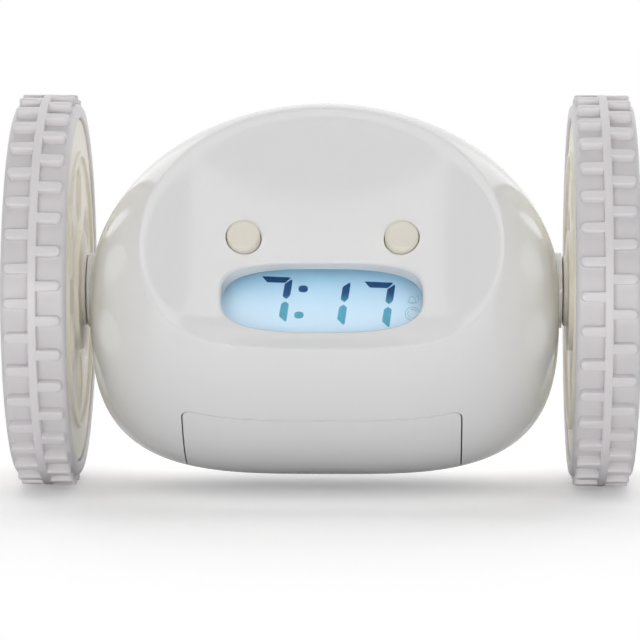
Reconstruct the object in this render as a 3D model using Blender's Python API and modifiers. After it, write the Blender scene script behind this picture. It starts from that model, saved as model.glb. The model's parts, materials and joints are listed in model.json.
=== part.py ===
"""Rolling alarm clock: an egg-shaped body carried on two large treaded wheels.

Metres, +Z up, +X along the wheel axle, -Y is the face side. The origin lies on the floor
under the middle of the axle. Lengths that end in _T or _S are taken in the face's own
axes: T runs out of the face along its normal, S runs up along the face.
"""

import math

import bmesh
import bpy
from mathutils import Matrix, Vector

for leftover in list(bpy.data.objects):
    bpy.data.objects.remove(leftover, do_unlink=True)

# Wheels and tyres
TYRE_RADIUS = 0.0440
TYRE_WIDTH = 0.0140
TYRE_WALL = 0.0031
TREAD_DEPTH = 0.0021
LUGS_IN_ROW = 36
RIB_WIDTH = 0.0019
LUG_LENGTH = 0.0048
LUG_WIDTH = 0.0022
LUG_DROP = 0.0001
LEFT_LUG_TURN = math.radians(4.1)
RIGHT_LUG_TURN = math.radians(6.8)
SHOULDER = 0.0013
SHOULDER_DROP = 0.0010
TYRE_BORE_RADIUS = TYRE_RADIUS - TREAD_DEPTH - TYRE_WALL
WHEEL_RIM_WIDTH = 0.0128
WHEEL_RIM_WALL = 0.0016
WHEEL_WEB = 0.0020
HOLE_COUNT = 6
HOLE_RADIUS = 0.0066
HOLE_CIRCLE_RADIUS = 0.0212
LIP_RADIUS = 0.0300
LIP_WIDTH = 0.0012
LIP_HEIGHT = 0.0008
HUB_RADIUS = 0.0080
HUB_FLANGE_RADIUS = 0.0135
HUB_NECK = 0.0013
HUB_OUTER_RADIUS = 0.0100
HUB_CAP_THICKNESS = 0.0016
HUB_CAP_DEPTH = 0.0032
HUB_CAP_CHAMFER = 0.0006
HUB_SCREW_RADIUS = 0.0013
HUB_SCREW_HEAD_RADIUS = 0.0035
HUB_SCREW_HEAD_HEIGHT = 0.0016
AXLE_RADIUS = 0.0015
AXLE_INSET = 0.0002
AXLE_END_GAP = 0.0020

# Body
BODY_TOP = 0.0420
BODY_BOTTOM = 0.0415
BODY_DEPTH = 0.0415
TOP_POWER = 2.0
BOTTOM_POWER = 3.5
DEPTH_POWER = 2.6
WALL = 0.0020
END_BOSS_RADIUS = 0.0085
END_BOSS_LENGTH = 0.0060
PARTING_GAP = 0.0003
POST_RADIUS = 0.0014

# Face dish: a scoop in the front that leans back, nearly flat in its middle and rising towards a soft
# rim; its half sizes are those at which it has risen by DISH_RISE
FACE_LEAN = math.radians(32.0)
RIM_SOFTNESS = 0.0030
DISH_FLOOR_T = 0.0232
DISH_MIDDLE_S = -0.0120
DISH_RISE = 0.0106
DISH_HALF_WIDTH = 0.0445
DISH_UP = 0.0611
DISH_DOWN = 0.0214
DISH_TOP_POWER = 3.0
DISH_BOTTOM_POWER = 3.5
DISH_RISE_POWER = 2.41
FACE_CUT_LOW_T = 0.0100
FACE_CUT_HIGH_T = 0.0400

# Display
WINDOW_WIDTH = 0.0440
WINDOW_HEIGHT = 0.0178
WINDOW_POWER = 2.7
WINDOW_S = -0.0140
WINDOW_FRAME_WALL = 0.0016
WINDOW_FRAME_SPARE = 0.0040
LENS_T = 0.0198
LENS_THICKNESS = 0.0012
LENS_OVERLAP = 0.0022
LCD_WIDTH = 0.0460
LCD_HEIGHT = 0.0180
LCD_THICKNESS = 0.0015
DIFFUSER_THICKNESS = 0.0015
DIFFUSER_HEIGHT = 0.0150
CONNECTOR_HEIGHT = 0.0020
BOARD_THICKNESS = 0.0016
DISPLAY_BOARD_WIDTH = 0.0500
DISPLAY_BOARD_TOP_S = 0.0065
BOARD_POST_RADIUS = 0.0013
BOARD_POST_FROM_TOP = 0.0020
BOARD_POST_FROM_END = 0.0015

# Buttons
EYE_X = 0.0174
EYE_S = 0.0004
EYE_RADIUS = 0.0038
EYE_PROUD = 0.0018
BUTTON_GAP = 0.0003
BUTTON_FLANGE = 0.0010
BUTTON_FLANGE_THICKNESS = 0.0010
BUTTON_TRAVEL = 0.0008
BUTTON_CHAMFER = 0.0006
EYE_FLANGE_DROP = 0.0009
SWITCH_SIDE = 0.0060
SWITCH_HEIGHT = 0.0031
PLUNGER_HEIGHT = 0.0010
PLUNGER_RADIUS = 0.0015
PLUNGER_GAP = 0.00015
SNOOZE_LEAN = math.radians(25.0)
SNOOZE_LENGTH = 0.0300
SNOOZE_WIDTH = 0.0120
SNOOZE_POWER = 2.4
SNOOZE_PROUD = 0.0012
SNOOZE_FLANGE_TOP = 0.0368
SNOOZE_STEM_RADIUS = 0.0025
SNOOZE_BOARD_LENGTH = 0.0420
SNOOZE_BOARD_WIDTH = 0.0110
SNOOZE_BOARD_TOP = 0.0275
SNOOZE_POST_X = 0.0190
SET_BUTTON_X = 0.0090
SET_BUTTON_Z = 0.0150
SET_BUTTON_RADIUS = 0.0032
SET_BUTTON_Y = 0.0402
SET_FLANGE_DROP = 0.0054

# Battery bay, along the face's own axes
CELL_RADIUS = 0.00525
CELL_LENGTH = 0.0445
CELL_GAP = 0.0003
CELL_SPACING = 0.0005
CELL_BUTTON_LENGTH = 0.0008
CELL_BUTTON_RADIUS = 0.0019
CONTACT_THICKNESS = 0.0005
CONTACT_REACH = 0.00155
CONTACT_BUMP_RADIUS = 0.0022
CONTACT_EDGE_GAP = 0.0005
BAY_T = -0.0015
BAY_INNER_CELL_S = -0.0214
TRAY_WALL = 0.0010
TRAY_END_GAP = 0.0003
TRAY_HALF_LENGTH = CELL_LENGTH / 2 + CELL_GAP + CONTACT_REACH + CONTACT_THICKNESS + TRAY_END_GAP + TRAY_WALL
TRAY_FRONT_EDGE_S = -0.0335
TRAY_BACK_EDGE_S = -0.0372
TRAY_FLANGE_S = -0.0333
TRAY_FLANGE_WIDTH = 0.0019
TRAY_FLANGE_THICKNESS = 0.0011
TRAY_FLANGE_T = 0.0140
DOOR_WIDTH = 0.0610
DOOR_HIGH_T = 0.0121
DOOR_LOW_T = -0.0152
DOOR_CORNER = 0.0020
DOOR_GAP = 0.0003
LATCH_WIDTH = 0.0042
LATCH_LENGTH = 0.0016
LATCH_SKIN_S = -0.0330
LATCH_OVERLAP = 0.0010
NOTCH_WIDTH = 0.0106
NOTCH_LENGTH = 0.0024
TONGUE_X = 0.0080
TONGUE_WIDTH = 0.0060
TONGUE_THICKNESS = 0.0010
TONGUE_S = -0.0357
TONGUE_REACH = 0.0011
TONGUE_ROOT_S = -0.0388
TONGUE_INSET = 0.0002

# Drive trains
MODULE = 0.0008
WHEEL_TEETH = 22
PINION_TEETH = 8
TOOTH_SHARE = 0.36
TOOTH_TAPER = 0.16
TOOTH_TIP = 0.9
TOOTH_ROOT = 1.25
GEAR_WIDTH = 0.0024
GEAR_GAP = 0.0005
GEAR_CENTRES = MODULE * (WHEEL_TEETH + PINION_TEETH) / 2
TRAY_TO_GEARBOX = 0.0011
FRAME_X = TRAY_HALF_LENGTH + TRAY_TO_GEARBOX
PLATE_THICKNESS = 0.0012
MOTOR_LENGTH = 0.0200
MOTOR_RADIUS = 0.00775
MOTOR_FLAT = 0.0060
MOTOR_SHAFT_RADIUS = 0.0010
MOTOR_BOSS_RADIUS = 0.0030
MOTOR_SHAFT_PROUD = 0.0001
GEAR_PIN_RADIUS = 0.0010
BORE_GAP = 0.0003
GEARBOX_FRONT_Y = -0.0125
GEARBOX_REAR_Y = 0.0145
GEARBOX_TOP_Z = 0.0110
GEARBOX_BOTTOM_Z = -0.0220
GEARBOX_CORNER = 0.0050
GEARBOX_POST_RADIUS = 0.0015
GEARBOX_POSTS = ((-0.0098, 0.0086), (0.0107, 0.0077), (0.0120, -0.0185), (-0.0098, -0.0195))
MOTOR_ANGLE = math.radians(-60.0)
GEAR_PIN_ANGLE = math.radians(-90.0)
AXLE_BOSS_RADIUS = 0.0045

# Along the axle, outwards from the gearbox: each place follows from what lies inside it. The body
# is wider than its gearboxes by a share, so that it stays deep enough round them
COVER_HIGH_X = FRAME_X + 2 * PLATE_THICKNESS + 4 * GEAR_GAP + 4 * GEAR_WIDTH
END_SHARE = 1.2878
END_BOSS_PROUD = 0.0004
WHEEL_CLEARANCE = 0.0024
BODY_HALF_WIDTH = END_SHARE * COVER_HIGH_X
END_BOSS_X = BODY_HALF_WIDTH + END_BOSS_PROUD
HUB_FLANGE_X = END_BOSS_X + HUB_NECK
TYRE_MIDDLE_X = END_BOSS_X + WHEEL_CLEARANCE + WHEEL_RIM_WIDTH / 2

# Rear of the body
MAIN_BOARD_Y = 0.0205
MAIN_BOARD_WIDTH = 0.0520
MAIN_BOARD_TOP_Z = 0.0200
MAIN_BOARD_BOTTOM_Z = -0.0240
MAIN_POST_X = 0.0230
MAIN_POST_Z = 0.0060
SPEAKER_RADIUS = 0.0140
SPEAKER_DEPTH = 0.0086
SPEAKER_MAGNET_RADIUS = 0.0084
SPEAKER_MAGNET_DEPTH = 0.0035
SPEAKER_CONE_RADIUS = 0.0120
SPEAKER_DOME_RADIUS = 0.0042
SPEAKER_RIM_RADIUS = 0.0129
SPEAKER_CONE_DROP = 0.0012
SPEAKER_DOME_DROP = 0.0004
SPEAKER_CAP_DROP = 0.0010
SPEAKER_Z = -0.0080
SLOT_COUNT = 5
SLOT_PITCH = 0.0042
SLOT_HEIGHT = 0.0017
SLOT_END_GAP = 0.0020
SCREW_BOSS_RADIUS = 0.0032
SCREW_SIDE_CLEARANCE = 0.0008
SCREW_UPPER = (0.0270, 0.0270)
SCREW_LOWER = (COVER_HIGH_X + SCREW_SIDE_CLEARANCE + SCREW_BOSS_RADIUS, -0.0190)
SCREW_RADIUS = 0.0011
SCREW_HEAD_RADIUS = 0.0022
SCREW_HEAD_HEIGHT = 0.0014
SCREW_LENGTH = 0.0120
SCREW_SEAT_Y = 0.0075
SCREW_END_GAP = 0.0010
PART_GAP = 0.0003

# How far joined shapes enter each other, and how far cuts run past what they cut
OVERLAP = 0.0005
CUT_SPARE = 0.0020
CUT_DEPTH = 0.0115
CUT_PROUD = 0.0085
CUT_LOW = BODY_DEPTH - CUT_DEPTH
CUT_HIGH = BODY_DEPTH + CUT_PROUD

# Facets: around the face's normal, rings inside the rim and rings behind it, for the body outside
# and inside; then the sides of round pieces
OUTSIDE_STEPS = (30, 8, 12)
INSIDE_STEPS = (18, 5, 9)
RIM_CROWDING = 1.6
BACK_CROWDING = 1.35
WHEEL_STEPS = 22
BUTTON_STEPS = 12
HOLE_STEPS = 10
ROUND_STEPS = 12
GEAR_BORE_STEPS = 10
SMALL_STEPS = 8
POST_STEPS = 6

AXLE_Z = TYRE_RADIUS
CENTRE = Vector((0.0, 0.0, AXLE_Z))

# World directions of the face's axes, and of the snooze button's
FACE_UP = Vector((0.0, math.sin(FACE_LEAN), math.cos(FACE_LEAN)))
FACE_OUT = Vector((0.0, -math.cos(FACE_LEAN), math.sin(FACE_LEAN)))
SNOOZE_OUT = Vector((0.0, math.sin(SNOOZE_LEAN), math.cos(SNOOZE_LEAN)))
SNOOZE_BACK = Vector((0.0, math.cos(SNOOZE_LEAN), -math.sin(SNOOZE_LEAN)))


def axes_frame(first, second, third, origin):
    """Matrix that takes local X, Y, Z to three world directions."""
    turn = Matrix((first, second, third)).transposed().to_4x4()
    return Matrix.Translation(origin) @ turn


WORLD = Matrix.Translation(CENTRE)
FACE = axes_frame(Vector((1, 0, 0)), FACE_UP, FACE_OUT, CENTRE)
SNOOZE = axes_frame(Vector((1, 0, 0)), SNOOZE_BACK, SNOOZE_OUT, CENTRE)
REAR = axes_frame(Vector((-1, 0, 0)), Vector((0, 0, 1)), Vector((0, 1, 0)), CENTRE)
# Local X, Y, Z run along world Y, Z, X: outlines drawn here are seen along the axle
ALONG_AXLE = axes_frame(Vector((0, 1, 0)), Vector((0, 0, 1)), Vector((1, 0, 0)), CENTRE)


def new_collection(name):
    collection = bpy.data.collections.new(name)
    bpy.context.scene.collection.children.link(collection)
    return collection


def new_material(name, colour, roughness, metallic=0.0):
    """Principled material from a linear colour."""
    material = bpy.data.materials.new(name)
    material.use_nodes = True
    shader = material.node_tree.nodes["Principled BSDF"]
    shader.inputs["Base Color"].default_value = (*colour, 1.0)
    shader.inputs["Roughness"].default_value = roughness
    shader.inputs["Metallic"].default_value = metallic
    material.diffuse_color = (*colour, 1.0)
    return material


PARTS = new_collection("rolling_alarm_clock")
CUTTERS = new_collection("cutters")

WHITE_PLASTIC = new_material("white_plastic", (0.86, 0.85, 0.83), 0.25)
CREAM_PLASTIC = new_material("cream_plastic", (0.78, 0.74, 0.63), 0.35)
WHITE_RUBBER = new_material("white_rubber", (0.72, 0.70, 0.68), 0.55)
CLEAR_PLASTIC = new_material("clear_plastic", (0.80, 0.90, 0.95), 0.08)
LCD_GLASS = new_material("lcd_glass", (0.50, 0.70, 0.80), 0.15)
DIFFUSER_PLASTIC = new_material("diffuser_plastic", (0.80, 0.88, 0.90), 0.50)
BOARD_LAMINATE = new_material("board_laminate", (0.06, 0.22, 0.09), 0.45)
BLACK_PLASTIC = new_material("black_plastic", (0.03, 0.03, 0.03), 0.45)
GREY_RUBBER = new_material("grey_rubber", (0.20, 0.20, 0.20), 0.70)
STEEL = new_material("steel", (0.55, 0.55, 0.56), 0.30, 1.0)
CELL_METAL = new_material("cell_metal", (0.45, 0.43, 0.40), 0.35, 1.0)
GEAR_PLASTIC = new_material("gear_plastic", (0.80, 0.80, 0.76), 0.40)


# Shapes

def object_from(name, bm, collection):
    mesh = bpy.data.meshes.new(name)
    bm.to_mesh(mesh)
    bm.free()
    item = bpy.data.objects.new(name, mesh)
    collection.objects.link(item)
    if collection is CUTTERS:
        item.hide_render = True
        item.display_type = "WIRE"
    return item


def evaluated_mesh(item):
    graph = bpy.context.evaluated_depsgraph_get()
    return bpy.data.meshes.new_from_object(item.evaluated_get(graph))


def block(name, low, high, frame=WORLD, collection=CUTTERS):
    """Box between two corners given in a frame."""
    low, high = Vector(low), Vector(high)
    bm = bmesh.new()
    bmesh.ops.create_cube(bm, size=1.0)
    size = high - low
    place = frame @ Matrix.Translation((low + high) / 2) @ Matrix.Diagonal((*size, 1.0))
    bm.transform(place)
    return object_from(name, bm, collection)


def rod(name, start, end, radius, frame=WORLD, sides=ROUND_STEPS, collection=CUTTERS):
    """Round bar between two points given in a frame."""
    start, end = Vector(start), Vector(end)
    along = end - start
    turn = Vector((0, 0, 1)).rotation_difference(along).to_matrix().to_4x4()
    bm = bmesh.new()
    bmesh.ops.create_cone(bm, cap_ends=True, cap_tris=False, segments=sides,
                          radius1=radius, radius2=radius, depth=along.length)
    bm.transform(frame @ Matrix.Translation((start + end) / 2) @ turn)
    return object_from(name, bm, collection)


def plate(name, outlines, low, high, frame=WORLD, collection=CUTTERS):
    """Flat outlines, holes included, extruded along a frame's third axis from low to high."""
    curve = bpy.data.curves.new(name, "CURVE")
    curve.dimensions = "2D"
    curve.fill_mode = "BOTH"
    curve.extrude = abs(high - low) / 2
    for outline in outlines:
        spline = curve.splines.new("POLY")
        spline.points.add(len(outline) - 1)
        for point, (u, v) in zip(spline.points, outline):
            point.co = (u, v, 0.0, 1.0)
        spline.use_cyclic_u = True
    drawn = bpy.data.objects.new(name + "_outline", curve)
    CUTTERS.objects.link(drawn)
    bm = bmesh.new()
    mesh = evaluated_mesh(drawn)
    bm.from_mesh(mesh)
    bpy.data.meshes.remove(mesh)
    bpy.data.objects.remove(drawn, do_unlink=True)
    bpy.data.curves.remove(curve)
    bmesh.ops.remove_doubles(bm, verts=bm.verts, dist=0.000001)
    bmesh.ops.recalc_face_normals(bm, faces=bm.faces)
    bm.transform(frame @ Matrix.Translation((0, 0, (low + high) / 2)))
    return object_from(name, bm, collection)


def circle(radius, sides, u=0.0, v=0.0, start=0.0):
    step = 2 * math.pi / sides
    return [(u + radius * math.cos(start + k * step), v + radius * math.sin(start + k * step))
            for k in range(sides)]


def rounded_rectangle(low_u, low_v, high_u, high_v, radius, corner_steps=2):
    corners = ((high_u - radius, high_v - radius, 0.0),
               (low_u + radius, high_v - radius, 0.5 * math.pi),
               (low_u + radius, low_v + radius, math.pi),
               (high_u - radius, low_v + radius, 1.5 * math.pi))
    points = []
    for u, v, start in corners:
        for k in range(corner_steps + 1):
            angle = start + 0.5 * math.pi * k / corner_steps
            points.append((u + radius * math.cos(angle), v + radius * math.sin(angle)))
    return points


def superellipse(half_u, half_v, power, sides, v_centre=0.0):
    points = []
    for k in range(sides):
        angle = 2 * math.pi * k / sides
        c, s = math.cos(angle), math.sin(angle)
        u = math.copysign(abs(c) ** (2 / power), c) * half_u
        v = math.copysign(abs(s) ** (2 / power), s) * half_v
        points.append((u, v_centre + v))
    return points


def combine(target, other, operation):
    modifier = target.modifiers.new(operation.lower(), "BOOLEAN")
    modifier.operation = operation
    modifier.object = other


def settle(item):
    """Turn an object's modifiers into plain mesh, so the next cut starts from it."""
    mesh = evaluated_mesh(item)
    item.modifiers.clear()
    item.data = mesh
    return item


def finish(item, material, pivot=None):
    """Give a part its material and shading and put its origin on its joint axis."""
    merge_flat(item)
    if item.name not in PARTS.objects:
        CUTTERS.objects.unlink(item)
        PARTS.objects.link(item)
    item.hide_render = False
    item.display_type = "TEXTURED"
    item.data.materials.clear()
    item.data.materials.append(material)
    item.data.shade_smooth()
    item.data.set_sharp_from_angle(angle=math.radians(32.0))
    if pivot is not None:
        item.data.transform(Matrix.Translation(-Vector(pivot)))
        item.location = pivot
    return item


def subtract_all(target, cutters):
    for cutter in cutters:
        combine(target, cutter, "DIFFERENCE")
        settle(target)
    return target


def unite_all(target, others):
    for other in others:
        combine(target, other, "UNION")
        settle(target)
    return target


def merge_flat(item):
    """Join faces that lie in one plane, which the cuts leave in many pieces."""
    bm = bmesh.new()
    bm.from_mesh(item.data)
    bmesh.ops.dissolve_limit(bm, angle_limit=math.radians(0.2), verts=bm.verts, edges=bm.edges)
    bm.to_mesh(item.data)
    bm.free()


# Body surfaces

def egg_reach(direction, inset):
    """Distance from the middle to the egg: top, bottom and depth fall off along the axle."""
    half = BODY_HALF_WIDTH - inset
    across, back, up = abs(direction.x), direction.y, direction.z

    def fall(size, share, power):
        return (size - inset) * max(1e-9, 1.0 - share ** power) ** (1 / power)

    low, high = 0.0, min(2 * half, half / max(across, 1e-9))
    for _ in range(36):
        middle = (low + high) / 2
        share = min(1.0, middle * across / half)
        tall = fall(BODY_TOP, share, TOP_POWER) if up > 0 else fall(BODY_BOTTOM, share, BOTTOM_POWER)
        deep = fall(BODY_DEPTH, share, DEPTH_POWER)
        if math.hypot(middle * back / deep, middle * up / tall) > 1.0:
            high = middle
        else:
            low = middle
    return low


def dish_t(u, v, inset=0.0):
    """Height of the dish over a point of the face, along the face's normal."""
    up = v - DISH_MIDDLE_S
    half, power = (DISH_UP, DISH_TOP_POWER) if up > 0 else (DISH_DOWN, DISH_BOTTOM_POWER)
    share = (abs(u) / DISH_HALF_WIDTH) ** power + (abs(up) / half) ** power
    return DISH_FLOOR_T - inset + DISH_RISE * share ** (DISH_RISE_POWER / power)


def dish_reach(direction, inset):
    """Distance from the middle to the dish, or None where the line stays behind it."""
    across, up, out = direction.x, direction.dot(FACE_UP), direction.dot(FACE_OUT)
    steps = 40
    step = 1.2 * BODY_HALF_WIDTH / steps
    for k in range(1, steps + 1):
        high = k * step
        if high * out > dish_t(high * across, high * up, inset):
            low = high - step
            for _ in range(24):
                middle = (low + high) / 2
                if middle * out > dish_t(middle * across, middle * up, inset):
                    high = middle
                else:
                    low = middle
            return low
    return None


def body_reach(direction, inset):
    """Egg and dish in one, rounded off where they meet in the rim."""
    egg, dish = egg_reach(direction, inset), dish_reach(direction, inset)
    if dish is None:
        return egg
    share = max(0.0, 1.0 - abs(egg - dish) / RIM_SOFTNESS)
    return min(egg, dish) - RIM_SOFTNESS * share ** 2 / 4


def face_direction(angle, turn):
    """Direction at an angle from the face's normal, turned round it from the axle's direction."""
    flat = Vector((math.cos(turn), 0.0, 0.0)) + FACE_UP * math.sin(turn)
    return FACE_OUT * math.cos(angle) + flat * math.sin(angle)


def rim_angle(turn, inset):
    """Angle between the face's normal and the rim of the dish."""
    low, high = 0.0, math.pi
    for _ in range(30):
        middle = (low + high) / 2
        direction = face_direction(middle, turn)
        dish = dish_reach(direction, inset)
        if dish is not None and dish < egg_reach(direction, inset):
            low = middle
        else:
            high = middle
    return low


def body_form(name, inset, around, front_rings, back_rings):
    """The body with its dished face, drawn over a ball whose rings follow the rim of the dish."""
    bm = bmesh.new()
    rings = front_rings + back_rings
    bmesh.ops.create_uvsphere(bm, u_segments=around, v_segments=rings, radius=1.0)
    rims = {}
    for vert in bm.verts:
        turn = math.atan2(vert.co.y, vert.co.x)
        ring = math.acos(max(-1.0, min(1.0, vert.co.z))) / math.pi * rings
        spoke = round(turn / math.pi * around)
        if spoke not in rims:
            rims[spoke] = rim_angle(turn, inset)
        rim = rims[spoke]
        if ring < front_rings:
            angle = rim * (1.0 - (1.0 - ring / front_rings) ** RIM_CROWDING)
        else:
            angle = rim + (math.pi - rim) * ((ring - front_rings) / back_rings) ** BACK_CROWDING
        direction = face_direction(angle, turn)
        vert.co = CENTRE + direction * body_reach(direction, inset)
    bmesh.ops.triangulate(bm, faces=bm.faces)
    return object_from(name, bm, CUTTERS)


def end_boss(name, side):
    start = (side * (END_BOSS_X - END_BOSS_LENGTH), 0, 0)
    return rod(name, start, (side * END_BOSS_X, 0, 0), END_BOSS_RADIUS, sides=WHEEL_STEPS)


def body_solid():
    """The closed body with its end bosses."""
    solid = body_form("body_solid", 0.0, *OUTSIDE_STEPS)
    return unite_all(solid, [end_boss("end_boss", side) for side in (-1, 1)])


def screw_places():
    for x, z in (SCREW_UPPER, SCREW_LOWER):
        for side in (-1, 1):
            yield side * x, z


def window_outline(grown, sides=24):
    return superellipse(WINDOW_WIDTH / 2 + grown, WINDOW_HEIGHT / 2 + grown, WINDOW_POWER,
                        sides, WINDOW_S)


def hollow_solid():
    """The space inside the walls, with everything that stands on the walls left out of it."""
    space = body_form("hollow", WALL, *INSIDE_STEPS)
    standing = []
    for side in (-1, 1):
        gearbox_end = COVER_HIGH_X + PART_GAP
        standing.append(rod("axle_boss", (side * gearbox_end, 0, 0), (side * BODY_HALF_WIDTH, 0, 0),
                            AXLE_BOSS_RADIUS, sides=SMALL_STEPS))
        post_x = side * (DISPLAY_BOARD_WIDTH / 2 - BOARD_POST_FROM_END)
        post_s = DISPLAY_BOARD_TOP_S - BOARD_POST_FROM_TOP
        standing.append(rod("board_post", (post_x, post_s, display_board_t() + PART_GAP),
                            (post_x, post_s, BODY_DEPTH), BOARD_POST_RADIUS, FACE, POST_STEPS))
        standing.append(rod("snooze_post", (side * SNOOZE_POST_X, 0, SNOOZE_BOARD_TOP + PART_GAP),
                            (side * SNOOZE_POST_X, 0, BODY_TOP), POST_RADIUS, SNOOZE, POST_STEPS))
        standing.append(rod("main_post", (side * MAIN_POST_X, main_board_back() + PART_GAP, MAIN_POST_Z),
                            (side * MAIN_POST_X, BODY_DEPTH, MAIN_POST_Z), POST_RADIUS, WORLD, POST_STEPS))
    for x, z in screw_places():
        standing.append(rod("screw_boss", (x, -BODY_DEPTH, z), (x, BODY_DEPTH, z),
                            SCREW_BOSS_RADIUS, WORLD, SMALL_STEPS))
    standing.append(plate("window_frame", [window_outline(WINDOW_FRAME_WALL)], LENS_T + PART_GAP,
                          DISH_FLOOR_T + WINDOW_FRAME_SPARE, FACE))
    return subtract_all(space, standing)


def display_board_t():
    """Face side of the display board, under the lens, panel and diffuser."""
    stack = LENS_THICKNESS + LCD_THICKNESS + DIFFUSER_THICKNESS + 3 * PART_GAP
    return LENS_T - stack


def main_board_back():
    return MAIN_BOARD_Y + BOARD_THICKNESS


def door_outline(grown):
    half = DOOR_WIDTH / 2 + grown
    return rounded_rectangle(-half, DOOR_LOW_T - grown, half, DOOR_HIGH_T + grown,
                             DOOR_CORNER + grown)


def door_frame():
    """Local X, Y, Z along the axle, out of the face, and down the face."""
    return axes_frame(Vector((1, 0, 0)), FACE_OUT, -FACE_UP, CENTRE)


def latch_cutter(grown, length):
    half = (NOTCH_WIDTH if grown else LATCH_WIDTH) / 2
    low = DOOR_LOW_T - length
    return block("latch", (-half, -CUT_HIGH, low), (half, LATCH_SKIN_S, DOOR_LOW_T + LATCH_OVERLAP), FACE)


def rear_slots():
    slots = []
    for k in range(SLOT_COUNT):
        offset = (k - (SLOT_COUNT - 1) / 2) * SLOT_PITCH
        half = math.sqrt(SPEAKER_RADIUS ** 2 - offset ** 2) - SLOT_END_GAP
        z = SPEAKER_Z + offset
        slots.append(block("slot", (-half, CUT_LOW, z - SLOT_HEIGHT / 2),
                           (half, CUT_HIGH, z + SLOT_HEIGHT / 2)))
    return slots


def make_shells():
    solid = body_solid()
    subtract_all(solid, [hollow_solid()])
    reach = 2 * BODY_HALF_WIDTH
    bore_radius = AXLE_RADIUS + 2 * BORE_GAP
    subtract_all(solid, [rod("axle_bore", (-reach, 0, 0), (reach, 0, 0), bore_radius)])

    front_half = block("front_half", (-reach, -reach, -reach), (reach, -PARTING_GAP / 2, reach))
    rear_half = block("rear_half", (-reach, PARTING_GAP / 2, -reach), (reach, reach, reach))
    front = object_copy(solid, "front_shell")
    rear = object_copy(solid, "rear_shell")
    combine(front, front_half, "INTERSECT")
    combine(rear, rear_half, "INTERSECT")
    settle(front)
    settle(rear)

    front_cutters = [plate("window", [window_outline(0.0)], FACE_CUT_LOW_T, FACE_CUT_HIGH_T, FACE),
                     plate("door_opening", [door_outline(DOOR_GAP)], CUT_LOW, CUT_HIGH, door_frame()),
                     latch_cutter(True, NOTCH_LENGTH)]
    for side in (-1, 1):
        front_cutters.append(rod("eye_bore", (side * EYE_X, EYE_S, FACE_CUT_LOW_T),
                                 (side * EYE_X, EYE_S, FACE_CUT_HIGH_T),
                                 EYE_RADIUS + BUTTON_GAP, FACE, BUTTON_STEPS))
    pilot_end = SCREW_SEAT_Y - SCREW_LENGTH - SCREW_END_GAP
    for x, z in screw_places():
        front_cutters.append(rod("pilot", (x, CUT_SPARE, z), (x, pilot_end, z),
                                 SCREW_RADIUS + PART_GAP, WORLD, POST_STEPS))
    subtract_all(front, front_cutters)

    rear_cutters = rear_slots()
    rear_cutters.append(plate("snooze_bore", [snooze_outline(BUTTON_GAP)], CUT_LOW, CUT_HIGH, SNOOZE))
    for side in (-1, 1):
        rear_cutters.append(rod("set_bore", (side * SET_BUTTON_X, CUT_LOW, SET_BUTTON_Z),
                                (side * SET_BUTTON_X, CUT_HIGH, SET_BUTTON_Z),
                                SET_BUTTON_RADIUS + BUTTON_GAP, WORLD, BUTTON_STEPS))
    for x, z in screw_places():
        rear_cutters.append(rod("screw_bore", (x, -CUT_SPARE, z), (x, CUT_HIGH, z),
                                SCREW_RADIUS + PART_GAP, WORLD, POST_STEPS))
        rear_cutters.append(rod("screw_recess", (x, SCREW_SEAT_Y, z), (x, CUT_HIGH, z),
                                SCREW_HEAD_RADIUS + PART_GAP, WORLD, SMALL_STEPS))
    subtract_all(rear, rear_cutters)
    finish(front, WHITE_PLASTIC)
    finish(rear, WHITE_PLASTIC)


def object_copy(item, name):
    copy = bpy.data.objects.new(name, item.data.copy())
    CUTTERS.objects.link(copy)
    return copy


def make_case_screws():
    for number, (x, z) in enumerate(screw_places(), 1):
        seat = SCREW_SEAT_Y + PART_GAP
        screw = rod("case_screw_%d" % number, (x, seat + SCREW_HEAD_HEIGHT, z), (x, seat, z),
                    SCREW_HEAD_RADIUS, WORLD, SMALL_STEPS)
        shank = rod("shank", (x, seat + OVERLAP, z), (x, seat - SCREW_LENGTH, z), SCREW_RADIUS,
                    WORLD, POST_STEPS)
        unite_all(screw, [shank])
        finish(screw, STEEL)


# Battery bay

def door_hinge_point():
    """Outer corner of the door's upper edge, where it meets the shell."""
    down = math.sqrt(BODY_DEPTH ** 2 - DOOR_HIGH_T ** 2)
    return FACE @ Vector((0.0, -down, DOOR_HIGH_T))


def make_battery_door():
    door = body_form("battery_door", 0.0, *OUTSIDE_STEPS)
    panel = plate("door_panel", [door_outline(0.0)], CUT_LOW, CUT_HIGH, door_frame())
    unite_all(panel, [latch_cutter(False, LATCH_LENGTH)])
    combine(door, panel, "INTERSECT")
    settle(door)
    tongues = []
    for side in (-1, 1):
        x_low, x_high = sorted((side * TONGUE_X, side * (TONGUE_X + TONGUE_WIDTH)))
        high_s = TONGUE_S + TONGUE_THICKNESS
        root_t = DOOR_HIGH_T - TONGUE_INSET
        tongues.append(block("tongue_root", (x_low, TONGUE_ROOT_S, root_t - TONGUE_THICKNESS),
                             (x_high, high_s, root_t), FACE))
        tongues.append(block("tongue_tip", (x_low, TONGUE_S, root_t - TONGUE_THICKNESS / 2),
                             (x_high, high_s, DOOR_HIGH_T + TONGUE_REACH), FACE))
    subtract_all(door, [body_form("door_inside", WALL, *OUTSIDE_STEPS)])
    unite_all(door, tongues)
    finish(door, WHITE_PLASTIC, door_hinge_point())


def cell_places():
    half_pitch = cell_half_pitch()
    for layer in (0, 1):
        for across in (-1, 1):
            s = BAY_INNER_CELL_S - layer * 2 * half_pitch
            yield s, BAY_T + across * half_pitch


def cell_half_pitch():
    return CELL_RADIUS + CELL_SPACING / 2


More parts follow.
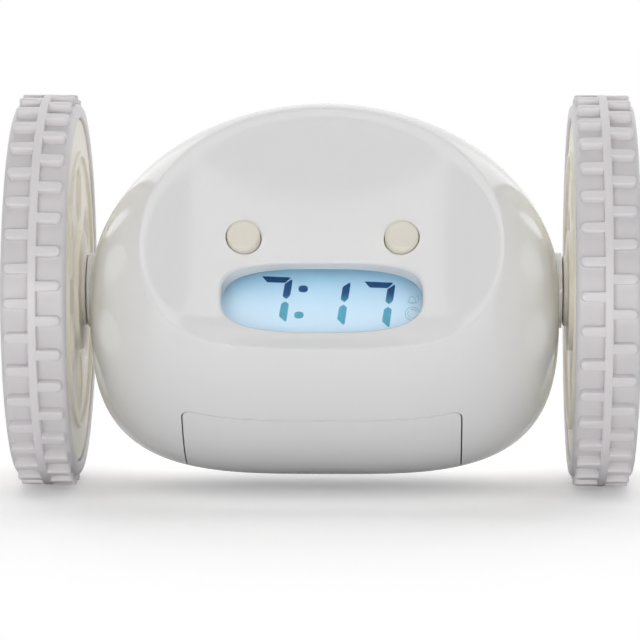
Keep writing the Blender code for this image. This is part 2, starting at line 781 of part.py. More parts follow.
def make_cells():
    """Round cells with a raised button at one end, alternating in direction."""
    for number, (s, t) in enumerate(cell_places(), 1):
        way = 1 if number in (1, 4) else -1
        half = CELL_LENGTH / 2
        shoulder = half - CELL_BUTTON_LENGTH
        can = rod("battery_cell_%d" % number, (-way * half, s, t), (way * shoulder, s, t),
                  CELL_RADIUS, FACE, ROUND_STEPS)
        cap = rod("cap", (way * (shoulder - OVERLAP), s, t), (way * half, s, t), CELL_BUTTON_RADIUS,
                  FACE, SMALL_STEPS)
        unite_all(can, [cap])
        finish(can, CELL_METAL)


def make_battery_tray():
    """Open box round the cells, with a flange that meets the shell round the door opening."""
    inside_t = cell_half_pitch() + CELL_RADIUS + CELL_GAP
    floor_s = BAY_INNER_CELL_S + CELL_RADIUS + CELL_GAP
    outside_t = inside_t + TRAY_WALL
    inside_x = TRAY_HALF_LENGTH - TRAY_WALL
    tray = block("battery_tray", (-TRAY_HALF_LENGTH, TRAY_BACK_EDGE_S, BAY_T - outside_t),
                 (TRAY_HALF_LENGTH, floor_s + TRAY_WALL, BAY_T + outside_t), FACE)
    flange_x = TRAY_HALF_LENGTH + TRAY_FLANGE_WIDTH
    flange = block("flange", (-flange_x, TRAY_FLANGE_S, BAY_T - TRAY_FLANGE_T),
                   (flange_x, TRAY_FLANGE_S + TRAY_FLANGE_THICKNESS, BAY_T + TRAY_FLANGE_T), FACE)
    unite_all(tray, [flange])
    hollow = block("tray_hollow", (-inside_x, -CUT_HIGH, BAY_T - inside_t),
                   (inside_x, floor_s, BAY_T + inside_t), FACE)
    lowered = block("tray_front_edge", (-2 * flange_x, -CUT_HIGH, BAY_T - inside_t),
                    (2 * flange_x, TRAY_FRONT_EDGE_S, BAY_T + 2 * TRAY_FLANGE_T), FACE)
    subtract_all(tray, [hollow, lowered])
    combine(tray, body_form("tray_limit", WALL + PART_GAP, *OUTSIDE_STEPS), "INTERSECT")
    settle(tray)
    finish(tray, WHITE_PLASTIC)
    for side, word in ((-1, "left"), (1, "right")):
        near = side * (inside_x - TRAY_END_GAP)
        far = near - side * CONTACT_THICKNESS
        x_low, x_high = sorted((near, far))
        contact = block("battery_contact_" + word, (x_low, TRAY_FRONT_EDGE_S + CONTACT_EDGE_GAP,
                                                    BAY_T - inside_t + PART_GAP),
                        (x_high, floor_s - PART_GAP, BAY_T + inside_t - PART_GAP), FACE)
        bumps = []
        for s, t in cell_places():
            tip = far - side * CONTACT_REACH
            bumps.append(rod("bump", ((near + far) / 2, s, t), (tip, s, t), CONTACT_BUMP_RADIUS,
                             FACE, POST_STEPS))
        unite_all(contact, bumps)
        finish(contact, STEEL)


# Display and buttons

def centred_block(name, width, height, centre_s, low_t, high_t):
    return block(name, (-width / 2, centre_s - height / 2, low_t),
                 (width / 2, centre_s + height / 2, high_t), FACE)


def make_display():
    lens_low = LENS_T - LENS_THICKNESS
    lens = plate("display_lens", [window_outline(LENS_OVERLAP)], lens_low, LENS_T, FACE)
    finish(lens, CLEAR_PLASTIC)
    lcd_high = lens_low - PART_GAP
    lcd_low = lcd_high - LCD_THICKNESS
    finish(centred_block("lcd_panel", LCD_WIDTH, LCD_HEIGHT, WINDOW_S, lcd_low, lcd_high),
           LCD_GLASS)
    light_high = lcd_low - PART_GAP
    light_low = light_high - DIFFUSER_THICKNESS
    light_s = WINDOW_S - (LCD_HEIGHT - DIFFUSER_HEIGHT) / 2
    finish(centred_block("backlight_diffuser", LCD_WIDTH, DIFFUSER_HEIGHT, light_s, light_low, light_high),
           DIFFUSER_PLASTIC)
    strip_s = light_s + DIFFUSER_HEIGHT / 2 + PART_GAP + CONNECTOR_HEIGHT / 2
    strip = centred_block("lcd_connector_strip", LCD_WIDTH, CONNECTOR_HEIGHT, strip_s, light_low,
                          light_high)
    finish(strip, GREY_RUBBER)
    board_high = display_board_t()
    low_s = WINDOW_S - LCD_HEIGHT / 2
    board = block("display_circuit_board", (-DISPLAY_BOARD_WIDTH / 2, low_s, board_high - BOARD_THICKNESS),
                  (DISPLAY_BOARD_WIDTH / 2, DISPLAY_BOARD_TOP_S, board_high), FACE)
    finish(board, BOARD_LAMINATE)


def make_switch(name, x, y, base, frame):
    """Push switch standing on a board: square body with a round plunger."""
    half = SWITCH_SIDE / 2
    top = base + SWITCH_HEIGHT
    body = block(name, (x - half, y - half, base), (x + half, y + half, top), frame)
    plunger = rod("plunger", (x, y, top - OVERLAP), (x, y, top + PLUNGER_HEIGHT), PLUNGER_RADIUS,
                  frame, SMALL_STEPS)
    unite_all(body, [plunger])
    finish(body, BLACK_PLASTIC)
    return top + PLUNGER_HEIGHT


def make_round_button(name, x, y, frame, radius, flange_top, cap_top, plunger_top, material):
    """Cap through the wall, a flange that stops it under the wall and a stem over its switch."""
    stem_low = plunger_top + BUTTON_TRAVEL + PLUNGER_GAP
    flange_low = flange_top - BUTTON_FLANGE_THICKNESS
    stem = radius / 2
    profile = ((0.0, cap_top), (radius - BUTTON_CHAMFER, cap_top), (radius, cap_top - BUTTON_CHAMFER),
               (radius, flange_top), (radius + BUTTON_FLANGE, flange_top),
               (radius + BUTTON_FLANGE, flange_low), (stem, flange_low), (stem, stem_low),
               (0.0, stem_low))
    button = turned(name, profile, BUTTON_STEPS, frame @ Matrix.Translation((x, y, 0.0)))
    finish(button, material, frame @ Vector((x, y, flange_top)))


def turned(name, profile, steps, frame):
    """Profile of (radius, height) points, top to bottom, turned about the frame's third axis."""
    mesh = bpy.data.meshes.new(name)
    item = bpy.data.objects.new(name, mesh)
    CUTTERS.objects.link(item)
    item.hide_render = True
    mesh.from_pydata([(r, 0.0, h) for r, h in profile],
                     [(k, k + 1) for k in range(len(profile) - 1)], [])
    screw = item.modifiers.new("turn", "SCREW")
    screw.steps = steps
    screw.render_steps = steps
    screw.use_merge_vertices = True
    screw.merge_threshold = 0.00001
    settle(item)
    item.data.transform(frame)
    return item


def snooze_outline(grown):
    return superellipse(SNOOZE_LENGTH / 2 + grown, SNOOZE_WIDTH / 2 + grown, SNOOZE_POWER, 20)


def make_buttons():
    board_t = display_board_t()
    for side, word in ((-1, "left"), (1, "right")):
        x = side * EYE_X
        wall = dish_t(EYE_X, EYE_S)
        plunger_top = make_switch(word + "_eye_switch", x, EYE_S, board_t + PART_GAP, FACE)
        make_round_button(word + "_eye_button", x, EYE_S, FACE, EYE_RADIUS,
                          wall - WALL - EYE_FLANGE_DROP, wall + EYE_PROUD, plunger_top, CREAM_PLASTIC)
        rear_x = side * SET_BUTTON_X
        plunger_top = make_switch(("hour" if side < 0 else "minute") + "_switch", rear_x, SET_BUTTON_Z,
                                  main_board_back() + PART_GAP, REAR)
        make_round_button(("hour" if side < 0 else "minute") + "_button", rear_x, SET_BUTTON_Z, REAR,
                          SET_BUTTON_RADIUS, SET_BUTTON_Y - WALL - SET_FLANGE_DROP, SET_BUTTON_Y,
                          plunger_top, CREAM_PLASTIC)

    plunger_top = make_switch("snooze_switch", 0.0, 0.0, SNOOZE_BOARD_TOP + PART_GAP, SNOOZE)
    cap = body_form("snooze_button", -SNOOZE_PROUD, *OUTSIDE_STEPS)
    column = plate("snooze_column", [snooze_outline(0.0)], SNOOZE_FLANGE_TOP - OVERLAP, CUT_HIGH,
                   SNOOZE)
    combine(cap, column, "INTERSECT")
    settle(cap)
    flange = plate("snooze_flange", [snooze_outline(BUTTON_FLANGE)],
                   SNOOZE_FLANGE_TOP - BUTTON_FLANGE_THICKNESS, SNOOZE_FLANGE_TOP, SNOOZE)
    stem_low = plunger_top + BUTTON_TRAVEL + PLUNGER_GAP
    stem = rod("snooze_stem", (0, 0, stem_low), (0, 0, SNOOZE_FLANGE_TOP - OVERLAP),
               SNOOZE_STEM_RADIUS, SNOOZE)
    unite_all(cap, [flange, stem])
    finish(cap, CREAM_PLASTIC, SNOOZE @ Vector((0, 0, SNOOZE_FLANGE_TOP)))
    half_x, half_y = SNOOZE_BOARD_LENGTH / 2, SNOOZE_BOARD_WIDTH / 2
    board = block("snooze_circuit_board", (-half_x, -half_y, SNOOZE_BOARD_TOP - BOARD_THICKNESS),
                  (half_x, half_y, SNOOZE_BOARD_TOP), SNOOZE)
    finish(board, BOARD_LAMINATE)


def make_rear_inside():
    half = MAIN_BOARD_WIDTH / 2
    board = block("main_circuit_board", (-half, MAIN_BOARD_Y, MAIN_BOARD_BOTTOM_Z),
                  (half, main_board_back(), MAIN_BOARD_TOP_Z))
    finish(board, BOARD_LAMINATE)
    low = main_board_back() + PART_GAP
    high = low + SPEAKER_DEPTH
    profile = ((0.0, high - SPEAKER_CAP_DROP), (SPEAKER_DOME_RADIUS, high - SPEAKER_DOME_DROP),
               (SPEAKER_CONE_RADIUS, high - SPEAKER_CONE_DROP), (SPEAKER_RIM_RADIUS, high),
               (SPEAKER_RADIUS, high), (SPEAKER_RADIUS, high - SPEAKER_CONE_DROP),
               (SPEAKER_MAGNET_RADIUS, low + SPEAKER_MAGNET_DEPTH), (SPEAKER_MAGNET_RADIUS, low),
               (0.0, low))
    speaker = turned("speaker", profile, BUTTON_STEPS, REAR @ Matrix.Translation((0.0, SPEAKER_Z, 0.0)))
    finish(speaker, BLACK_PLASTIC)


# Drive trains

def gear_outline(teeth, first_tooth_angle):
    """Straight-sided teeth, thin enough to run with backlash in every phase."""
    pitch_radius = MODULE * teeth / 2
    tip_radius = pitch_radius + TOOTH_TIP * MODULE
    root_radius = pitch_radius - TOOTH_ROOT * MODULE
    pitch_angle = 2 * math.pi / teeth
    root_half = 0.5 * pitch_angle * (TOOTH_SHARE + TOOTH_TAPER)
    tip_half = 0.5 * pitch_angle * (TOOTH_SHARE - TOOTH_TAPER)
    points = []
    for tooth in range(teeth):
        middle = first_tooth_angle + tooth * pitch_angle
        for radius, offset in ((root_radius, -root_half), (tip_radius, -tip_half),
                               (tip_radius, tip_half), (root_radius, root_half)):
            angle = middle + offset
            points.append((radius * math.cos(angle), radius * math.sin(angle)))
    return points


def shifted(points, y, z):
    return [(y + u, z + v) for u, v in points]


def toothed_plate(name, teeth, tooth_angle, low_x, high_x, y, z, side):
    outline = shifted(gear_outline(teeth, tooth_angle), y, z)
    low, high = sorted((side * low_x, side * high_x))
    return plate(name, [outline], low, high, ALONG_AXLE)


def gear_stage_x(stage):
    """Low side of each gear pair, counted from the motor: 0, 1, 2."""
    return FRAME_X + PLATE_THICKNESS + GEAR_GAP + stage * (GEAR_WIDTH + GEAR_GAP)


def bored(item, low_x, high_x, radius, y, z, side):
    bore = rod("gear_bore", (side * (low_x - CUT_SPARE), y, z), (side * (high_x + CUT_SPARE), y, z),
               radius, WORLD, GEAR_BORE_STEPS)
    return subtract_all(item, [bore])


def compound_gear(name, stage, wheel_angle, pinion_angle, y, z, bore_radius, side):
    """Large gear driven by the stage before it, with the small gear of the next stage."""
    low = gear_stage_x(stage)
    middle = low + GEAR_WIDTH
    high = gear_stage_x(stage + 1) + GEAR_WIDTH
    large = toothed_plate(name, WHEEL_TEETH, wheel_angle, low, middle, y, z, side)
    small = toothed_plate("small_gear", PINION_TEETH, pinion_angle, middle - OVERLAP, high, y, z, side)
    unite_all(large, [small])
    bored(large, low, high, bore_radius, y, z, side)
    pivot = CENTRE + Vector((side * low, y, z))
    return finish(large, GEAR_PLASTIC, pivot)


def gearbox_plate(name, low_x, high_x, side, holes):
    low, high = sorted((side * low_x, side * high_x))
    outline = rounded_rectangle(GEARBOX_FRONT_Y, GEARBOX_BOTTOM_Z, GEARBOX_REAR_Y, GEARBOX_TOP_Z,
                                GEARBOX_CORNER)
    return plate(name, [outline] + holes, low, high, ALONG_AXLE)


def make_drive(side, word):
    """Motor and three-stage reduction between two plates.

    The motor and the transfer gear both hang one centre distance from the axle, where
    their weight keeps the body upright, and the idler gear turns freely on the axle itself.
    Each pinion turns a gap towards the tooth that the larger gear turns towards it.
    """
    motor_y, motor_z = GEAR_CENTRES * math.cos(MOTOR_ANGLE), GEAR_CENTRES * math.sin(MOTOR_ANGLE)
    pin_y, pin_z = GEAR_CENTRES * math.cos(GEAR_PIN_ANGLE), GEAR_CENTRES * math.sin(GEAR_PIN_ANGLE)
    gap_turn = math.pi / PINION_TEETH

    flat_angle = math.asin(MOTOR_FLAT / MOTOR_RADIUS)
    can_outline = []
    for start in (-flat_angle, math.pi - flat_angle):
        for k in range(7):
            angle = start + 2 * flat_angle * k / 6
            can_outline.append((motor_y + MOTOR_RADIUS * math.cos(angle),
                                motor_z + MOTOR_RADIUS * math.sin(angle)))
    face_x = FRAME_X - PART_GAP
    low, high = sorted((side * (face_x - MOTOR_LENGTH), side * face_x))
    motor = plate(word + "_motor", [can_outline], low, high, ALONG_AXLE)
    nose = rod("nose", (side * (face_x - OVERLAP), motor_y, motor_z),
               (side * (FRAME_X + PLATE_THICKNESS - PART_GAP), motor_y, motor_z), MOTOR_BOSS_RADIUS)
    shaft_end = gear_stage_x(0) + GEAR_WIDTH + MOTOR_SHAFT_PROUD
    shaft = rod("shaft", (side * face_x, motor_y, motor_z), (side * shaft_end, motor_y, motor_z),
                MOTOR_SHAFT_RADIUS, WORLD, SMALL_STEPS)
    finish(unite_all(motor, [nose, shaft]), STEEL)

    low = gear_stage_x(0)
    pinion = toothed_plate(word + "_motor_pinion", PINION_TEETH, MOTOR_ANGLE + math.pi + gap_turn, low,
                           low + GEAR_WIDTH, motor_y, motor_z, side)
    bored(pinion, low, low + GEAR_WIDTH, MOTOR_SHAFT_RADIUS + BORE_GAP, motor_y, motor_z, side)
    finish(pinion, GEAR_PLASTIC, CENTRE + Vector((side * low, motor_y, motor_z)))

    towards_axle = GEAR_PIN_ANGLE + math.pi
    compound_gear(word + "_idler_gear", 0, MOTOR_ANGLE, GEAR_PIN_ANGLE + gap_turn, 0.0, 0.0,
                  AXLE_RADIUS + BORE_GAP, side)
    compound_gear(word + "_transfer_gear", 1, towards_axle, towards_axle + gap_turn, pin_y, pin_z,
                  GEAR_PIN_RADIUS + BORE_GAP, side)
    low = gear_stage_x(2)
    output = toothed_plate(word + "_output_gear", WHEEL_TEETH, GEAR_PIN_ANGLE, low, low + GEAR_WIDTH,
                           0.0, 0.0, side)
    bored(output, low, low + GEAR_WIDTH, AXLE_RADIUS + BORE_GAP, 0.0, 0.0, side)
    finish(output, GEAR_PLASTIC, CENTRE + Vector((side * low, 0, 0)))

    cover_low = COVER_HIGH_X - PLATE_THICKNESS
    axle_hole = circle(AXLE_RADIUS + BORE_GAP, ROUND_STEPS)
    pin_hole = circle(GEAR_PIN_RADIUS + BORE_GAP, ROUND_STEPS, pin_y, pin_z)
    nose_hole = circle(MOTOR_BOSS_RADIUS + BORE_GAP, ROUND_STEPS, motor_y, motor_z)
    frame = gearbox_plate(word + "_gearbox_frame", FRAME_X, FRAME_X + PLATE_THICKNESS, side,
                          [axle_hole, pin_hole, nose_hole])
    post_low = FRAME_X + PLATE_THICKNESS - OVERLAP
    posts = [rod("post", (side * post_low, y, z), (side * (cover_low - PART_GAP), y, z),
                 GEARBOX_POST_RADIUS, WORLD, POST_STEPS) for y, z in GEARBOX_POSTS]
    finish(unite_all(frame, posts), WHITE_PLASTIC)
    cover = gearbox_plate(word + "_gearbox_cover", cover_low, COVER_HIGH_X, side, [axle_hole, pin_hole])
    finish(cover, WHITE_PLASTIC)
    pin = rod(word + "_gear_pin", (side * FRAME_X, pin_y, pin_z), (side * COVER_HIGH_X, pin_y, pin_z),
              GEAR_PIN_RADIUS, WORLD, SMALL_STEPS)
    finish(pin, STEEL)


# Wheels

def wheel_sides():
    inner = TYRE_MIDDLE_X - WHEEL_RIM_WIDTH / 2
    return inner, inner + WHEEL_RIM_WIDTH


def make_wheel(side, word):
    """Turned disc with a hub sleeve, a hub flange, a raised lip and a rim; round holes in its web."""
    inner, outer = wheel_sides()
    rim_out = TYRE_BORE_RADIUS - PART_GAP
    rim_in = rim_out - WHEEL_RIM_WALL
    hub_start = END_BOSS_X + PART_GAP
    bore = AXLE_RADIUS + BORE_GAP
    web_end = inner + WHEEL_WEB
    hub_end = outer - HUB_CAP_THICKNESS - HUB_CAP_DEPTH
    profile = ((bore, hub_end), (HUB_OUTER_RADIUS, hub_end), (HUB_OUTER_RADIUS, web_end), (rim_in, web_end),
               (rim_in, outer), (rim_out, outer), (rim_out, inner),
               (LIP_RADIUS + LIP_WIDTH, inner), (LIP_RADIUS + LIP_WIDTH, inner - LIP_HEIGHT),
               (LIP_RADIUS, inner - LIP_HEIGHT), (LIP_RADIUS, inner),
               (HUB_FLANGE_RADIUS, inner), (HUB_FLANGE_RADIUS, HUB_FLANGE_X), (HUB_RADIUS, HUB_FLANGE_X),
               (HUB_RADIUS, hub_start), (bore, hub_start), (bore, hub_end))
    turn_side = Matrix.Identity(4) if side > 0 else Matrix.Rotation(math.pi, 4, "Y")
    wheel = turned(word + "_wheel", profile, WHEEL_STEPS, ALONG_AXLE @ turn_side)
    holes = []
    for k in range(HOLE_COUNT):
        angle = math.pi / 2 + 2 * math.pi * k / HOLE_COUNT
        y, z = HOLE_CIRCLE_RADIUS * math.cos(angle), HOLE_CIRCLE_RADIUS * math.sin(angle)
        holes.append(rod("wheel_hole", (side * (inner - CUT_SPARE), y, z),
                         (side * (web_end + CUT_SPARE), y, z), HOLE_RADIUS, WORLD, HOLE_STEPS))
    subtract_all(wheel, holes)
    finish(wheel, CREAM_PLASTIC, CENTRE + Vector((side * TYRE_MIDDLE_X, 0, 0)))

    screw_seat = hub_end + PART_GAP
    axle_end = hub_end - AXLE_END_GAP
    axle = rod(word + "_wheel_axle", (side * (FRAME_X + AXLE_INSET), 0, 0), (side * axle_end, 0, 0),
               AXLE_RADIUS)
    finish(axle, STEEL, CENTRE + Vector((side * FRAME_X, 0, 0)))
    screw = rod(word + "_hub_screw", (side * (axle_end + PART_GAP), 0, 0),
                (side * (screw_seat + OVERLAP), 0, 0), HUB_SCREW_RADIUS, WORLD, SMALL_STEPS)
    head = rod("head", (side * screw_seat, 0, 0), (side * (screw_seat + HUB_SCREW_HEAD_HEIGHT), 0, 0),
               HUB_SCREW_HEAD_RADIUS)
    finish(unite_all(screw, [head]), STEEL, CENTRE + Vector((side * screw_seat, 0, 0)))
    cap_low = outer - HUB_CAP_THICKNESS
    ring_inside = HUB_OUTER_RADIUS - HUB_CAP_THICKNESS
    cap_profile = ((0.0, outer), (HUB_OUTER_RADIUS - HUB_CAP_CHAMFER, outer),
                   (HUB_OUTER_RADIUS, outer - HUB_CAP_CHAMFER), (HUB_OUTER_RADIUS, hub_end + PART_GAP),
                   (ring_inside, hub_end + PART_GAP), (ring_inside, cap_low), (0.0, cap_low))
    cap = turned(word + "_hub_cap", cap_profile, BUTTON_STEPS, ALONG_AXLE @ turn_side)
    finish(cap, CREAM_PLASTIC, CENTRE + Vector((side * cap_low, 0, 0)))


def make_tyre(side, word):
    """Turned ring with a middle rib; two rows of lugs, the outer row half a pitch round.

    The ring has a flat side at the bottom, so its radii are those of the flat sides.
    """
    corner = 1.0 / math.cos(math.pi / LUGS_IN_ROW)
    top = TYRE_RADIUS * corner
    floor = (TYRE_RADIUS - TREAD_DEPTH) * corner
    bore = TYRE_BORE_RADIUS * corner
    half = TYRE_WIDTH / 2
    rib = RIB_WIDTH / 2
    middle = TYRE_MIDDLE_X
    lug_turn = LEFT_LUG_TURN if side < 0 else RIGHT_LUG_TURN
    shoulder = floor - SHOULDER_DROP
    profile = ((bore, half), (shoulder, half), (floor, half - SHOULDER), (floor, rib), (top, rib),
               (top, -rib), (floor, -rib), (floor, -half + SHOULDER), (shoulder, -half),
               (bore, -half), (bore, half))
    half_side = Matrix.Rotation(math.pi / LUGS_IN_ROW, 4, "Z")
    place = ALONG_AXLE @ Matrix.Translation((0, 0, side * middle)) @ half_side
    ring = turned(word + "_tyre", profile, LUGS_IN_ROW, place)
    pitch = 2 * math.pi / LUGS_IN_ROW
    bm = bmesh.new()
    for row in (-1, 1):
        row_turn = lug_turn if row < 0 else lug_turn + pitch / 2
        low, high = sorted((row * side * (rib - OVERLAP), row * side * (rib + LUG_LENGTH)))
        lug_low = TYRE_RADIUS - TREAD_DEPTH - OVERLAP
        lug_high = TYRE_RADIUS - LUG_DROP
        for k in range(LUGS_IN_ROW):
            size = Matrix.Diagonal((lug_high - lug_low, LUG_WIDTH, high - low, 1.0))
            seat = Matrix.Translation(((lug_low + lug_high) / 2, 0, side * middle + (low + high) / 2))
            turn = Matrix.Rotation(row_turn + k * pitch, 4, "Z")
            bmesh.ops.create_cube(bm, size=1.0, matrix=ALONG_AXLE @ turn @ seat @ size)
    lugs = object_from("lugs", bm, CUTTERS)
    unite_all(ring, [lugs])
    finish(ring, WHITE_RUBBER, CENTRE + Vector((side * middle, 0, 0)))


make_shells()
make_case_screws()
make_battery_door()
make_cells()
make_battery_tray()
make_display()
make_buttons()
make_rear_inside()
for wheel_side, wheel_word in ((-1, "left"), (1, "right")):
    make_drive(wheel_side, wheel_word)
    make_wheel(wheel_side, wheel_word)
    make_tyre(wheel_side, wheel_word)
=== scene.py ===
"""Rolling alarm clock: finished mouldings, treads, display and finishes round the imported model.

Metres, +Z up, +X along the wheel axle, -Y is the face side. The face has its own axes:
T runs out of the face along its normal, S runs up along the face.
"""

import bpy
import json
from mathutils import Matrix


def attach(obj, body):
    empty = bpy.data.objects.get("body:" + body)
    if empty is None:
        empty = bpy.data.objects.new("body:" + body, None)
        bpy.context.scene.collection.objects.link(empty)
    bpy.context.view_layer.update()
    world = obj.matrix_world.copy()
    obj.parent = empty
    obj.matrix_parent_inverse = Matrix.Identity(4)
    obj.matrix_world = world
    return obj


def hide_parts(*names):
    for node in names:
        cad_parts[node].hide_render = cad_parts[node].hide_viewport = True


bl_info = {
    "name": "Rolling alarm clock",
    "version": (1, 0, 0),
    "blender": (4, 5, 0),
    "location": "3D View > Sidebar > Clock",
    "description": "Builds the visible mouldings of a rolling alarm clock and their finishes",
    "category": "Object",
}

import json
import math

import bmesh
import bpy
import numpy as np
from mathutils import Matrix, Vector

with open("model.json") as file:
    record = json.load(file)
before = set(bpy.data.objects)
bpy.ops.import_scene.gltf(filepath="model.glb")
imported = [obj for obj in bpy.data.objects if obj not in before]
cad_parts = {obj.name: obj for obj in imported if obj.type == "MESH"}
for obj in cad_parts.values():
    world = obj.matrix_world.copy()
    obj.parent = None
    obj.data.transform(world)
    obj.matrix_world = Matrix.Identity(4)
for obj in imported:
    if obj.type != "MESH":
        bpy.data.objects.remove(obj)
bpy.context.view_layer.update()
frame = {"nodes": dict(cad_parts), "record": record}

AXLE_Z = 0.0440
CENTRE = Vector((0.0, 0.0, AXLE_Z))

# Body: half sizes of the egg and the powers by which they fall off along the axle
BODY_HALF_WIDTH = 0.0528
BODY_TOP = 0.0420
BODY_BOTTOM = 0.0415
BODY_DEPTH = 0.0415
TOP_POWER = 2.0
BOTTOM_POWER = 3.5
DEPTH_POWER = 2.6
WALL = 0.0020
END_BOSS_RADIUS = 0.0085
END_BOSS_X = 0.0532
END_BOSS_ROOT_X = 0.0470
AXLE_SLEEVE_X = 0.0413
AXLE_SLEEVE_RADIUS = 0.0045
AXLE_BORE_RADIUS = 0.0021
PARTING_GAP = 0.0003
# Distances from the middle of the body between which its skin lies where openings go through it
SKIN = (0.030, 0.050)

# Face dish
FACE_LEAN = math.radians(32.0)
DISH_FLOOR_T = 0.0232
DISH_MIDDLE_S = -0.0120
DISH_RISE = 0.0106
DISH_HALF_WIDTH = 0.0445
DISH_UP = 0.0611
DISH_DOWN = 0.0214
DISH_TOP_POWER = 3.0
DISH_BOTTOM_POWER = 3.5
DISH_RISE_POWER = 2.41
FACE_CUT_T = 0.0100

# Display window and lens
WINDOW_WIDTH = 0.0440
WINDOW_HEIGHT = 0.0178
WINDOW_POWER = 3.0
WINDOW_S = -0.0140
WINDOW_FRAME_WALL = 0.0016
WINDOW_FRAME_T = 0.0300
LENS_T = 0.0198
PANEL_T = 0.0183
GLASS_WIDTH = 0.0466
GLASS_HEIGHT = 0.0196
GLASS_THICKNESS = 0.00010
INK_THICKNESS = 0.00004
# Painted glow given off by the display, which has no lamp
DISPLAY_PAINTED_GLOW = 0.17

# Buttons
EYE_X = 0.0174
EYE_S = 0.0004
EYE_RADIUS = 0.0037
EYE_GAP = 0.0002
EYE_LIP = 0.0003
EYE_PROUD = 0.0018
EYE_FLANGE_DROP = 0.0009
BUTTON_GAP = 0.0003
FLANGE = 0.0010
SNOOZE_LEAN = math.radians(25.0)
SNOOZE_LENGTH = 0.0300
SNOOZE_WIDTH = 0.0120
SNOOZE_POWER = 2.4
SNOOZE_PROUD = 0.0012
SNOOZE_EDGE = 0.0009
SNOOZE_FLANGE_TOP = 0.0368
SNOOZE_STEM_RADIUS = 0.0025
SET_BUTTON_X = 0.0090
SET_BUTTON_Z = 0.0150
SET_BUTTON_RADIUS = 0.0032
SET_BUTTON_Y = 0.0402
SET_FLANGE_DROP = 0.0054

# Battery door
DOOR_WIDTH = 0.0610
DOOR_HIGH_T = 0.0121
DOOR_LOW_T = -0.0152
DOOR_CORNER = 0.0020
DOOR_RISE = 0.0005
DOOR_BOW = 0.0012
DOOR_GAP = 0.0003
LATCH_WIDTH = 0.0042
LATCH_LENGTH = 0.0016
LATCH_ROOT_S = -0.0330
NOTCH_WIDTH = 0.0106
NOTCH_LENGTH = 0.0024
TONGUE_X = 0.0080
TONGUE_WIDTH = 0.0060
TONGUE_THICKNESS = 0.0010
TONGUE_S = -0.0357
TONGUE_REACH = 0.0011
TONGUE_ROOT_S = -0.0388

# Rear of the body
SPEAKER_RADIUS = 0.0140
SPEAKER_Z = -0.0080
SLOT_COUNT = 5
SLOT_PITCH = 0.0042
SLOT_HEIGHT = 0.0017
SLOT_END_GAP = 0.0020
SCREW_UPPER = (0.0270, 0.0270)
SCREW_LOWER = (0.0450, -0.0190)
SCREW_HOLE_RADIUS = 0.0025
SCREW_THREAD_RADIUS = 0.0014
SCREW_THREAD_DEPTH = 0.0055
SCREW_BOSS_RADIUS = 0.0032
SCREW_SEAT_Y = 0.0075

# Wheels
TYRE_RADIUS = 0.0440
TYRE_WIDTH = 0.0140
TYRE_MIDDLE_X = 0.0620
TYRE_BORE_RADIUS = 0.0388
TREAD_DEPTH = 0.0021
LUGS_IN_ROW = 36
LUG_TURNS = {"left": math.radians(4.1), "right": math.radians(6.8)}
RIB_WIDTH = 0.0019
LUG_LENGTH = 0.0051
LUG_WIDTH = 0.0022
LUG_ROOT = 0.0005
LUG_UNDER_RIB = 0.00006
# Painted shade on the tread floor and a painted highlight on the lug edges, as shares of the tyre's colour,
# and the depths below the lug tops where they change
TREAD_FLOOR_PAINTED_SHADE = 0.84
LUG_TOP_DIMMED_BESIDE_PAINTED_HIGHLIGHT = 0.93
LUG_PAINTED_HIGHLIGHT_DEPTH = 0.0006
LUG_TOP_DEPTH = 0.00008
WHEEL_INNER_X = 0.0556
WHEEL_OUTER_X = 0.0684
WHEEL_WEB = 0.0020
WHEEL_RIM_WALL = 0.0016
HOLE_COUNT = 6
HOLE_RADIUS = 0.0066
HOLE_CIRCLE_RADIUS = 0.0212
LIP_RADIUS = 0.0300
LIP_WIDTH = 0.0012
LIP_HEIGHT = 0.0008
HUB_RADIUS = 0.0080
HUB_START_X = 0.0535
HUB_FLANGE_RADIUS = 0.0135
HUB_FLANGE_X = 0.0545
HUB_OUTER_RADIUS = 0.0100
HUB_END_X = 0.0636
HUB_BORE = 0.0018
CAP_WALL = 0.0016
PART_GAP = 0.0003

# The photograph's view
VIEW_YAW = 1.45
VIEW_RISE = 5.0
VIEW_DISTANCE = 0.855
FOCAL_PIXELS = 3789.0
PICTURE_PIXELS = 640.0
AXLE_PIXEL = (325.0, 290.0)
SENSOR_WIDTH = 36.0

# Soft lamps: name, place, height of the aim, width and height of the lamp, power
LAMPS = (
    ("top_box", (0.0, -0.42, 0.90), 0.05, 0.9, 0.5, 2.0),
    ("rear_box", (0.0, 0.45, 0.90), 0.05, 1.2, 0.7, 1.2),
    ("left_card", (-0.22, -0.85, 0.07), 0.04, 0.4, 0.14, 1.5),
    ("left_rear_box", (-0.50, 0.75, 0.35), 0.05, 0.5, 0.7, 0.5),
    ("right_card", (0.22, -0.85, 0.07), 0.04, 0.4, 0.14, 1.2),
    ("right_rear_box", (0.50, 0.75, 0.35), 0.05, 0.5, 0.7, 0.5),
)

# Floor: how far from the clock it still shows its shade, and where it is plain white to the camera
FLOOR_SHADED = 0.08
FLOOR_WHITE = 0.23
FLOOR_LIFT = 0.23

WHITE = (1.0, 1.0, 1.0, 1.0)

# Surroundings: light on the clock from in front and from behind, and what gloss shows of the front
ROOM_FRONT = 0.10
ROOM_BACK = 1.08
ROOM_GLOSS_FRONT = 0.40


def srgb(code):
    """Linear colour from an sRGB hex code."""
    values = [int(code[k:k + 2], 16) / 255 for k in (0, 2, 4)]
    return tuple(v / 12.92 if v <= 0.04045 else ((v + 0.055) / 1.055) ** 2.4 for v in values)


